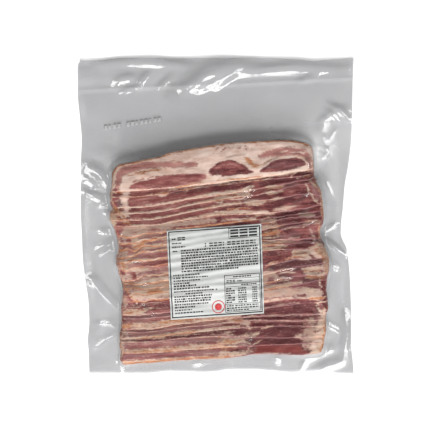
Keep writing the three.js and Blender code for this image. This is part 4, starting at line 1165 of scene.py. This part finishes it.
def in_label(x, y):
    u, v = to_u(x), to_v(y)
    # distances inside each side, in a frame turned with the label
    left = u - (167.0 + (v - 230.4) * 4.0 / 89.1)
    right = (261.0 + (v - 223.5) * 3.0 / 89.5) - u
    top = v - (230.4 + (u - 167.0) * -6.9 / 94.0)
    bottom = (319.5 + (u - 171.0) * -6.5 / 93.0) - v
    return np.minimum(np.minimum(left, right), np.minimum(top, bottom))


# The film is a membrane drawn down on what is under it: hard over the meat, softer over the paper and beside the pile.
stiff = smooth((in_label(FX, FY) + 2) / 2)
inside = gap.reshape(FX.shape) < 0.3
behind = FY > np.interp(FX, XS, TOP_Y) - 1.0
pull = np.where(inside, 0.17, np.where(behind, 0.07, 0.2))
pull = pull * (1 - stiff) + 0.05 * stiff
film = floor_z.copy()
for sweep in range(260):
    mean = film.copy()
    mean[1:-1, 1:-1] = 0.25 * (film[:-2, 1:-1] + film[2:, 1:-1] + film[1:-1, :-2] + film[1:-1, 2:])
    film = np.maximum(floor_z, mean - pull)
# take the last kinks out of the drawn film, but never below what it covers
for sweep in range(3):
    mean = film.copy()
    mean[1:-1, 1:-1] = 0.125 * (film[:-2, 1:-1] + film[2:, 1:-1] + film[1:-1, :-2] + film[1:-1, 2:]) + 0.5 * film[1:-1, 1:-1]
    film = np.maximum(mean, floor_z - 0.16)


def film_at(x, y):
    """Height of the drawn film at plan places, from its grid."""
    u, v = to_u(x), to_v(y)
    top, bottom = top_cut(u), bottom_cut(u)
    b = np.clip((bottom - v) / (bottom - top), 0, 1)
    v0 = 375 - b * (375 - 57)
    a = np.clip((u - left_cut(v0)) / (right_cut(v0) - left_cut(v0)), 0, 1)
    gi, gj = a * (NU - 1), b * (NV - 1)
    i, j = np.clip(gi.astype(int), 0, NU - 2), np.clip(gj.astype(int), 0, NV - 2)
    s, t = gi - i, gj - j
    return (film[j, i] * (1 - s) + film[j, i + 1] * s) * (1 - t) + (film[j + 1, i] * (1 - s) + film[j + 1, i + 1] * s) * t


wet = 1 - smooth(gap / 2.2)
crisp = creases(fx, fy, RIPPLES[: len(RIPPLES) - len(PUCKERS)]) / 0.3 + creases(fx, fy, PUCKERS) / 0.9
calm = 1 - smooth((gap - 10) / 12) * 0.5 * smooth((352 - to_v(fy)) / 6)
seal_above = seal_line(to_u(fx)) - to_v(fy)
seal_and_painted_light = smooth(seal_above / 0.8 + 0.5) * smooth((3.8 - seal_above) / 0.8 + 0.5)
# painted light: milk added to the film behind the slab's right part lifts the slab's shadow there
painted_light_above_slab = smooth((to_u(fx) - 240) / 44) * np.exp(-(((to_v(fy) - 134) / 26) ** 2)) * (1 - wet)
# painted light: milk added to the film close beside the pile's ends lifts the shadow there
ends_ = np.maximum(smooth((150 - to_u(fx)) / 40), smooth((to_u(fx) - 282) / 26))
reach_ = 3.9 + 6.5 * smooth((180 - to_v(fy)) / 22)
flank = ends_ * np.exp(-((gap / reach_) ** 2)) * smooth(gap / 0.7)
# painted shade: a band a little further out from the pile's ends, where the film's tint is darkened again
beyond = ends_ * np.exp(-(((gap - 11) / 5.5) ** 2)) * smooth((to_v(fy) - 194) / 10)
film_top = make_mesh(
    "film_front",
    np.stack([fx, fy, film.ravel()], 1),
    grid_faces(NU, NV),
    {
        "wet": wet,
        # the heat seal's milky band, plus painted light behind the slab and beside the pile's ends
        "seal_and_painted_light": seal_and_painted_light + 1.6 * painted_light_above_slab + (1.4 + 1.2 * smooth((316 - to_v(fy)) / 20) + 2.2 * smooth((178 - to_v(fy)) / 24)) * flank,
        "dent": np.clip(dents / 0.2 + crisp * (1 - wet), 0, 1),
        "calm": calm,
        # painted shade: the film's tint is darkened towards the bottom and in the band beyond the lightened flanks
        "painted_shade_tint": np.maximum(smooth((to_v(fy) - 348) / 14), 0.65 * beyond),
    },
)

BU, BV = 150, 168
BX, BY = sheet_plan(BU, BV)
bx, by = BX.ravel(), BY.ravel()
bgap = outline_gap(bx, by)
under = np.where(bgap < 1.2, 0.1, 0)
back_z = np.where(bgap < 1.2, 0.1, np.maximum(border_height(bx, by) - 0.12, 0.1))
film_back = make_mesh(
    "film_back",
    np.stack([bx, by, back_z], 1),
    grid_faces(BU, BV, flip=True),
    {"wet": 1 - smooth(bgap / 2.2), "seal_and_painted_light": np.zeros(len(bx)), "dent": np.zeros(len(bx)), "calm": np.ones(len(bx)), "painted_shade_tint": np.zeros(len(bx))},
)

rashers = [
    bundle("rashers_upper", range(0, 6)),
    bundle("rashers_middle", range(6, 17)),
    bundle("rashers_lower", range(17, N_RASHERS)),
]

# ---- the label ----------------------------------------------------------------------------------------
LN, LM = 96, 92
la, lb = np.meshgrid(np.linspace(0, 1, LN), np.linspace(0, 1, LM))
lx, ly = label_place(la, lb)
PAPER = 0.14


def paper_z(x, y):
    crease = 0.05 * noise(x / 13, (y - 0.09 * x) / 5.2, 71) + 0.012 * noise(x / 5, y / 4, 72)
    return film_at(x, y) + 0.12 + crease + 0.1


lz = paper_z(lx, ly)
lverts = np.concatenate(
    [
        np.stack([lx.ravel(), ly.ravel(), lz.ravel() + PAPER], 1),
        np.stack([lx.ravel(), ly.ravel(), lz.ravel()], 1),
    ]
)
label = make_mesh(
    "label_paper",
    lverts,
    np.concatenate([grid_faces(LN, LM), grid_faces(LN, LM, LN * LM, flip=True), rim_faces(LN, LM, LN * LM)]),
)

LW, LH = 94.5, 89.8  # the label's width and height


class Marks:
    """Thin flat marks printed on the paper, as closed slabs that follow it."""

    def __init__(self, lift=0.0, thick=0.05):
        self.v, self.f, self.n, self.lift, self.thick = [], [], 0, lift, thick

    def bar(self, x0, y0, x1, y1):
        """A rectangle, in millimetres from the label's lower left corner."""
        n = max(2, int(abs(x1 - x0) / 1.2) + 2)
        m = max(2, int(abs(y1 - y0) / 1.2) + 2)
        a, b = np.meshgrid(np.linspace(x0, x1, n) / LW, np.linspace(y0, y1, m) / LH)
        self.patch(a, b)

    def patch(self, a, b):
        m, n = a.shape
        x, y = label_place(a, b)
        z = paper_z(x, y) + PAPER + 0.012 + self.lift
        self.v.append(np.stack([x.ravel(), y.ravel(), z.ravel() + self.thick], 1))
        self.v.append(np.stack([x.ravel(), y.ravel(), z.ravel()], 1))
        low = n * m
        self.f.append(
            np.concatenate([grid_faces(n, m), grid_faces(n, m, low, flip=True), rim_faces(n, m, low)]) + self.n
        )
        self.n += 2 * n * m

    def ring(self, cx, cy, r0, r1, parts=40, start=0.0, stop=2 * math.pi):
        t, r = np.meshgrid(np.linspace(start, stop, parts), np.linspace(r0, r1, int((r1 - r0) / 0.7) + 2))
        self.patch((cx - r * np.cos(t)) / LW, (cy + r * np.sin(t)) / LH)

    def line_of_marks(self, x0, x1, y, height, mean=1.5, space=0.45):
        x = x0
        while x < x1 - 0.4:
            w = min(mean * prng.uniform(0.5, 1.5), x1 - x)
            h = height * prng.uniform(0.75, 1.0)
            self.bar(x, y + (height - h) / 2, x + w, y + (height + h) / 2)
            x += w + space * prng.uniform(0.7, 1.4) * (2.4 if prng.uniform() < 0.08 else 1)

    def done(self, name):
        return make_mesh(name, np.concatenate(self.v), np.concatenate(self.f), smooth_shade=False)


prng = np.random.default_rng(23)
ink = Marks()
# the frame
F0, FW = 1.4, 1.1
for x0, y0, x1, y1 in [
    (F0, F0, LW - F0, F0 + FW),
    (F0, LH - F0 - FW, LW - F0, LH - F0),
    (F0, F0 + FW + 0.02, F0 + FW, LH - F0 - FW - 0.02),
    (LW - F0 - FW, F0 + FW + 0.02, LW - F0, LH - F0 - FW - 0.02),
]:
    ink.bar(x0, y0, x1, y1)
# boxed bold heading: a frame and three plain hatched squares
hx0, hx1, hy0, hy1 = 61.5, 91.5, 77.0, 87.3
for x0, y0, x1, y1 in [(hx0, hy0, hx1, hy0 + 0.5), (hx0, hy1 - 0.5, hx1, hy1), (hx0, hy0 + 0.52, hx0 + 0.5, hy1 - 0.52)]:
    ink.bar(x0, y0, x1, y1)
for k in range(3):
    x0 = hx0 + 1.6 + k * 9.3
    for r in range(3):
        ink.bar(x0, hy0 + 1.2 + r * 3.0, x0 + 8.2, hy0 + 3.0 + r * 3.0)
# the bold line under it: a row of hatched blocks
for k in range(12):
    x0 = 37.4 + k * 4.5
    w = 3.6 if k not in (0, 4, 11) else 1.2
    for r in range(2):
        ink.bar(x0, 70.8 + r * 2.4, x0 + w, 72.05 + r * 2.4)
# small lines at the upper left
ink.line_of_marks(4.6, 8.6, 79.8, 1.4, mean=1.5)
for k in range(2):
    for r in range(2):
        ink.bar(10.4 + k * 4.1, 78.8 + r * 2.1, 13.8 + k * 4.1, 79.95 + r * 2.1)
ink.line_of_marks(4.6, 15, 75.4, 1.5, mean=1.6)
ink.line_of_marks(4.6, 18, 71.6, 1.5, mean=1.6)
# the paragraph
for r in range(9):
    ink.line_of_marks(13.2, 90 - (20 if r == 8 else 0), 67.6 - r * 2.6, 1.7, mean=1.9, space=0.62)
ink.line_of_marks(5, 10.4, 67.6, 1.3, mean=1.6)
# groups of short lines at the lower left
for y, x0, x1, h in [
    (43.4, 4.6, 31, 1.5),
    (40.6, 4.6, 40, 1.5),
    (37.8, 4.6, 31, 1.5),
    (35.0, 4.6, 21, 1.5),
    (32.4, 4.6, 29, 1.9),
    (29.8, 4.6, 41, 1.6),
    (27.0, 4.6, 48, 1.4),
    (24.4, 16.0, 33, 1.4),
    (21.8, 4.6, 43, 1.6),
    (19.2, 4.6, 42, 1.6),
    (16.6, 4.6, 50, 2.0),
    (13.8, 4.6, 39, 1.5),
    (11.0, 4.6, 25, 1.5),
    (8.2, 4.6, 22, 1.4),
    (5.4, 4.6, 33, 1.4),
]:
    ink.line_of_marks(x0, min(x1, 41.0) if y < 18 else x1, y, h, mean=1.8, space=0.6)
# the table
tx0, tx1, ty0, ty1 = 55.4, 91.3, 3.4, 41.0
for x0, y0, x1, y1 in [
    (tx0, ty0, tx1, ty0 + 0.6),
    (tx0, ty1 - 0.6, tx1, ty1),
    (tx0, ty0 + 0.62, tx0 + 0.6, ty1 - 0.62),
    (tx1 - 0.6, ty0 + 0.62, tx1, ty1 - 0.62),
]:
    ink.bar(x0, y0, x1, y1)
for y in (36.9, 32.0, 28.9, 11.3):
    ink.bar(tx0 + 0.62, y, tx1 - 0.62, y + 0.45)
ink.line_of_marks(tx0 + 9, tx1 - 9, 38.1, 1.4, mean=1.8)
for k in range(3):
    ink.bar(tx0 + 2.2 + k * 3.1, 33.3, tx0 + 4.5 + k * 3.1, 34.2)
    ink.bar(tx0 + 2.2 + k * 3.1, 34.9, tx0 + 4.5 + k * 3.1, 35.8)
ink.line_of_marks(tx0 + 13, tx0 + 18, 33.8, 1.3, mean=1.6)
ink.line_of_marks(tx0 + 17, tx1 - 3, 29.9, 1.3, mean=1.6)
for r in range(7):
    y = 26.4 - r * 2.3
    ink.line_of_marks(tx0 + 1.4, tx0 + (10.2 if r % 3 else 7.0), y, 1.6, mean=1.9, space=0.5)
    ink.line_of_marks(tx0 + 13.6, tx0 + 21.8, y, 1.5, mean=1.3, space=0.5)
    ink.line_of_marks(tx0 + 27.8, tx0 + 33.0, y, 1.5, mean=1.3, space=0.5)
for y, x1 in ((9.2, tx1 - 2), (6.9, tx1 - 2), (4.6, tx1 - 12)):
    ink.line_of_marks(tx0 + 1.6, x1, y, 1.3, mean=1.8, space=0.6)
print_ink = ink.done("label_print")

red = Marks()
red.ring(48.5, 9.8, 5.7, 6.6)
red.ring(48.5, 9.8, 0.05, 3.5)
print_red = red.done("label_emblem")

# ---- the faint date row on the lip: plain blocks on the film -----------------------------------------------
date_v, date_f, date_n = [], [], 0
for k in range(13):
    if k == 4:
        continue
    u0 = 103.5 + k * 4.5
    w, h = 3.2 - 0.9 * (k % 3 == 1), 4.6
    a, b = np.meshgrid(np.linspace(0, 1, 4), np.linspace(0, 1, 5))
    uu = u0 + a * w
    vv = 129.6 - (u0 - 103.5) * 0.152 - b * h - a * w * 0.152
    x, y = to_x(uu), to_y(vv)
    z = film_at(x, y) + 0.12
    m_, n_ = x.shape
    date_v.append(np.stack([x.ravel(), y.ravel(), z.ravel() + 0.03], 1))
    date_v.append(np.stack([x.ravel(), y.ravel(), z.ravel()], 1))
    low = n_ * m_
    date_f.append(
        np.concatenate([grid_faces(n_, m_), grid_faces(n_, m_, low, flip=True), rim_faces(n_, m_, low)]) + date_n
    )
    date_n += 2 * low
date_row = make_mesh("date_row", np.concatenate(date_v), np.concatenate(date_f), smooth_shade=False)


# ---- materials -------------------------------------------------------------------------------------------
class Nodes:
    """A short way to write a node tree."""

    def __init__(self, name):
        self.mat = bpy.data.materials.new(name)
        self.mat.use_nodes = True
        self.t = self.mat.node_tree
        self.t.nodes.clear()

    def add(self, kind, inputs=None, **props):
        n = self.t.nodes.new(kind)
        for k, v in props.items():
            setattr(n, k, v)
        for k, v in (inputs or {}).items():
            s = n.inputs[k]
            if isinstance(v, bpy.types.NodeSocket):
                self.t.links.new(v, s)
            else:
                s.default_value = v
        return n

    def attr(self, name):
        return self.add("ShaderNodeAttribute", attribute_name=name).outputs["Fac"]

    def math(self, op, a, b=0.0, clamp=False):
        return self.add("ShaderNodeMath", {0: a, 1: b}, operation=op, use_clamp=clamp).outputs[0]

    def mix(self, fac, a, b):
        n = self.add("ShaderNodeMix", data_type="RGBA")
        for k, v in ((0, fac), (6, a), (7, b)):
            if isinstance(v, bpy.types.NodeSocket):
                self.t.links.new(v, n.inputs[k])
            else:
                n.inputs[k].default_value = v
        return n.outputs[2]

    def noise(self, scale, stretch=(1, 1, 1), detail=3.0, rough=0.55, offset=(0, 0, 0)):
        co = self.add("ShaderNodeTexCoord").outputs["Object"]
        mp = self.add("ShaderNodeMapping", {"Vector": co, "Location": offset, "Scale": stretch})
        n = self.add(
            "ShaderNodeTexNoise",
            {"Vector": mp.outputs[0], "Scale": scale, "Detail": detail, "Roughness": rough},
        )
        return n.outputs["Fac"]

    def ramp(self, fac, lo, hi):
        n = self.add("ShaderNodeMapRange", {"Value": fac, "From Min": lo, "From Max": hi, "To Min": 0.0, "To Max": 1.0})
        n.interpolation_type = "SMOOTHSTEP"
        n.clamp = True
        return n.outputs[0]

    def end(self, shader):
        self.add("ShaderNodeOutputMaterial", {"Surface": shader})
        return self.mat


def rgb(r, g, b):
    """A colour as a screen shows it, 0 to 255, made linear."""

    def f(c):
        c /= 255.0
        return c / 12.92 if c <= 0.04045 else ((c + 0.055) / 1.055) ** 2.4

    return (f(r), f(g), f(b), 1.0)


def meat_material():
    n = Nodes("bacon")
    lean, tone, rind, pink, dull_and_shade, pale = (n.attr(k) for k in ("lean", "tone", "rind", "pink", "dull_and_shade", "pale"))
    grain = n.noise(520, (0.22, 1, 1), 4)  # fibres run along the rasher
    fine = n.noise(1100, (0.4, 1, 1), 3, offset=(3, 1, 0))
    blotch = n.noise(95, (0.6, 1, 1), 3, offset=(1, 7, 0))
    speck = n.noise(620, (0.62, 1, 1), 3, offset=(5, 2, 0))
    g, f, k, b = (n.math("SUBTRACT", n.ramp(c, 0.34, 0.66), 0.5) for c in (grain, fine, speck, blotch))
    waver = n.math("ADD", n.math("MULTIPLY", g, 0.42), n.math("MULTIPLY", k, 0.42))
    edge = n.math("MULTIPLY", n.math("MULTIPLY", lean, n.math("SUBTRACT", 1.0, lean)), 4.0)  # 1 where muscle meets fat
    loose = n.math("MULTIPLY", waver, n.math("ADD", 0.35, n.math("MULTIPLY", edge, 0.75)))
    muscle = n.ramp(n.math("ADD", lean, loose), 0.02, 0.98)
    # muscle from dark purple-brown to rose
    t = n.math("ADD", tone, n.math("MULTIPLY", b, 0.16))
    t = n.math("ADD", t, n.math("MULTIPLY", g, 0.18))
    t = n.math("ADD", t, n.math("MULTIPLY", k, 0.2), clamp=True)
    m1 = n.mix(n.ramp(t, 0.0, 0.5), rgb(80, 26, 30), rgb(124, 65, 63))
    m2 = n.mix(n.ramp(t, 0.45, 1.0), m1, rgb(160, 110, 103))
    m2 = n.mix(n.math("MULTIPLY", n.ramp(rind, 0.05, 0.5), 0.5), m2, rgb(136, 54, 44))
    marbling = n.ramp(n.math("ADD", f, n.math("MULTIPLY", g, 0.8)), 0.3, 0.8)
    plain = n.math("MULTIPLY", n.math("SUBTRACT", 1.0, n.ramp(rind, 0.26, 0.4)), 0.28)
    m3 = n.mix(n.math("MULTIPLY", marbling, plain), m2, rgb(168, 126, 117))
    # dull also greys the muscle towards a cool mauve, partly as painted shade
    m3 = n.mix(n.math("MULTIPLY", n.ramp(dull_and_shade, 0.2, 1.0), 0.5), m3, rgb(118, 86, 91))
    # fat from cream to pink; pale lifts it, which is partly painted light on the topmost face and in gleam strokes;
    # dull greys it, partly the fat's own grey tone and partly painted shade along the rims' fronts and on the lower
    # rashers
    f1 = n.mix(pink, rgb(180, 159, 139), rgb(180, 147, 133))
    f1 = n.mix(pale, f1, rgb(221, 198, 187))
    f2 = n.mix(n.math("MULTIPLY", n.ramp(dull_and_shade, 0.1, 1.0), 0.75), f1, rgb(148, 122, 112))
    f3 = n.mix(n.math("MULTIPLY", n.ramp(blotch, 0.45, 0.75), 0.35), f2, rgb(192, 139, 112))
    spots = n.math("MULTIPLY", n.math("SUBTRACT", 1.0, pale), 0.45)
    f4 = n.mix(n.math("MULTIPLY", n.ramp(n.math("ADD", g, k), 0.0, 0.8), spots), f3, rgb(162, 112, 96))
    f4 = n.mix(n.math("MULTIPLY", n.ramp(n.math("ADD", f, k), 0.3, 0.9), 0.2), f4, rgb(214, 194, 180))
    skin = n.mix(n.ramp(grain, 0.3, 0.7), rgb(180, 121, 84), rgb(153, 98, 67))
    # dull darkens the skin too, partly as painted shade on the rims' fronts
    skin = n.mix(n.math("MULTIPLY", dull_and_shade, 0.7), skin, rgb(120, 78, 48))
    f5 = n.mix(n.ramp(n.math("ADD", rind, n.math("MULTIPLY", waver, 0.6)), 0.12, 0.75), f4, skin)
    colour = n.mix(muscle, f5, m3)
    rough = n.math("ADD", 0.42, n.math("MULTIPLY", grain, 0.2))
    bump = n.add(
        "ShaderNodeBump",
        {"Strength": 0.35, "Distance": 0.0004, "Height": n.math("ADD", grain, n.math("MULTIPLY", muscle, -0.35))},
    )
    p = n.add(
        "ShaderNodeBsdfPrincipled",
        {"Base Color": colour, "Roughness": rough, "Normal": bump.outputs[0], "Specular IOR Level": 0.18},
    )
    return n.end(p.outputs[0])


def film_material(name, haze, tint):
    n = Nodes(name)
    wet, seal_and_painted_light = n.attr("wet"), n.attr("seal_and_painted_light")
    slack = n.math("MULTIPLY", n.attr("calm"), n.math("SUBTRACT", 1.0, n.attr("dent")))
    cloud = n.noise(26, (1, 1, 1), 3)
    # painted shade: smoke darkens the film's tint
    tint = n.mix(n.attr("painted_shade_tint"), tint, (0.7, 0.7, 0.705, 1))
    clear = n.mix(wet, tint, (0.97, 0.97, 0.965, 1))
    through = n.add("ShaderNodeBsdfTransparent", {"Color": clear})
    bump = n.add("ShaderNodeBump", {"Strength": 0.25, "Distance": 0.0003, "Height": n.noise(420, (1, 1, 1), 2)})
    shine = n.add(
        "ShaderNodeBsdfGlossy",
        {"Color": (1, 1, 1, 1), "Roughness": n.math("ADD", 0.08, n.math("MULTIPLY", slack, 0.24)), "Normal": bump.outputs[0]},
    )
    edge = n.add("ShaderNodeLayerWeight", {"Blend": 0.25}).outputs["Fresnel"]
    fac = n.math("ADD", 0.04, n.math("MULTIPLY", edge, 0.6))
    fac = n.math("MULTIPLY", fac, n.math("SUBTRACT", 1.0, n.math("MULTIPLY", slack, 0.9)), clamp=True)
    skin = n.add("ShaderNodeMixShader", {0: fac, 1: through.outputs[0], 2: shine.outputs[0]})
    milk = n.add("ShaderNodeBsdfDiffuse", {"Color": (0.8, 0.8, 0.805, 1)})
    dry = n.math("SUBTRACT", 1.0, wet)
    h = n.math("MULTIPLY", dry, n.math("MULTIPLY", haze, n.math("ADD", 0.7, n.math("MULTIPLY", cloud, 0.6))))
    # seal adds milk: the heat seal's band, and elsewhere painted light
    h = n.math("ADD", h, n.math("MULTIPLY", seal_and_painted_light, 0.1), clamp=True)
    out = n.add("ShaderNodeMixShader", {0: h, 1: skin.outputs[0], 2: milk.outputs[0]})
    return n.end(out.outputs[0])


def paper_material():
    n = Nodes("label_paper")
    soft = n.noise(70, (0.25, 1, 1), 3)
    fibre = n.noise(1400, (1, 1, 1), 2)
    c = n.mix(n.ramp(soft, 0.35, 0.7), rgb(171, 172, 170), rgb(156, 158, 156))
    c = n.mix(n.math("MULTIPLY", fibre, 0.12), c, rgb(148, 150, 150))
    bump = n.add("ShaderNodeBump", {"Strength": 0.3, "Distance": 0.0003, "Height": soft})
    p = n.add(
        "ShaderNodeBsdfPrincipled",
        {"Base Color": c, "Roughness": n.math("ADD", 0.46, n.math("MULTIPLY", fibre, 0.16)), "Normal": bump.outputs[0], "Specular IOR Level": 0.22},
    )
    return n.end(p.outputs[0])


def ink_material(name, dark, light, rough=0.5):
    n = Nodes(name)
    worn = n.noise(600, (1, 1, 1), 3)
    c = n.mix(n.ramp(worn, 0.4, 0.75), dark, light)
    p = n.add(
        "ShaderNodeBsdfPrincipled", {"Base Color": c, "Roughness": n.math("ADD", rough, n.math("MULTIPLY", worn, 0.1)), "Specular IOR Level": 0.25}
    )
    return n.end(p.outputs[0])


bacon = meat_material()
front = film_material("film_front", 0.11, (0.745, 0.745, 0.75, 1))
back = film_material("film_back", 0.1, (0.80, 0.80, 0.805, 1))
paper = paper_material()
black = ink_material("label_ink", rgb(12, 12, 14), rgb(36, 36, 38))
scarlet = ink_material("label_red", rgb(150, 26, 32), rgb(176, 62, 62))
grey = ink_material("date_ink", rgb(146, 146, 147), rgb(168, 168, 169))

for ob, mat, slot in (
    [(film_top, front, "film"), (film_back, back, "film"), (label, paper, "label")]
    + [(print_ink, black, "label"), (print_red, scarlet, "label"), (date_row, grey, "film")]
    + [(r, bacon, "bacon") for r in rashers]
):
    ob.data.materials.append(mat)
    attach(ob, "root")
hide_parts("vacuum_bag")
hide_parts("label")

# ---- floor, light and camera ---------------------------------------------------------------------------------
bpy.ops.mesh.primitive_plane_add(size=6, location=(0, 0, -0.0006))
floor = bpy.context.object
floor.name = "floor"
fm = Nodes("floor")
tone_ = fm.mix(fm.noise(3, (1, 1, 1), 2), (0.86, 0.86, 0.86, 1), (0.88, 0.88, 0.88, 1))
floor.data.materials.append(
    fm.end(fm.add("ShaderNodeBsdfPrincipled", {"Base Color": tone_, "Roughness": 0.9, "Specular IOR Level": 0.1}).outputs[0])
)

world = bpy.data.worlds.new("studio")
bpy.context.scene.world = world
world.use_nodes = True
world.node_tree.nodes["Background"].inputs[0].default_value = (1, 1, 1, 1)
world.node_tree.nodes["Background"].inputs[1].default_value = 0.5


def soft_box(name, place, size, watts, aim=(0, 0, 0)):
    li = bpy.data.lights.new(name, "AREA")
    li.shape = "RECTANGLE"
    li.size, li.size_y = size
    li.energy = watts
    ob = bpy.data.objects.new(name, li)
    bpy.context.scene.collection.objects.link(ob)
    ob.location = place
    d = np.array(aim, float) - np.array(place, float)
    from mathutils import Vector

    ob.rotation_euler = Vector(d).to_track_quat("-Z", "Y").to_euler()
    return ob


def only(ob, diffuse, glossy):
    """Say which rays a light shows in."""
    ob.visible_diffuse = diffuse
    ob.visible_glossy = glossy
    ob.visible_camera = False
    return ob


# A broad light low on the near side shapes the meat; three boxes show only as reflections in the film.
only(soft_box("key", (0.2, -3.4, 2.3), (3.1, 3.1), 390), True, False)
for name, (place, size) in SHINES.items():
    place, size = [c * MM for c in place], [c * MM for c in size]
    only(soft_box("shine_" + name, place, size, 11 * math.pi * size[0] * size[1]), False, True)

cam = bpy.data.cameras.new("camera")
cam.lens = 135
cam.sensor_width = 36
cam.clip_start = 0.01
camera = bpy.data.objects.new("camera", cam)
camera.location = (0, 0, 0.010 + 0.435 * 135 / 36)
bpy.context.scene.collection.objects.link(camera)
bpy.context.scene.camera = camera
bpy.context.scene.view_settings.view_transform = "Standard"
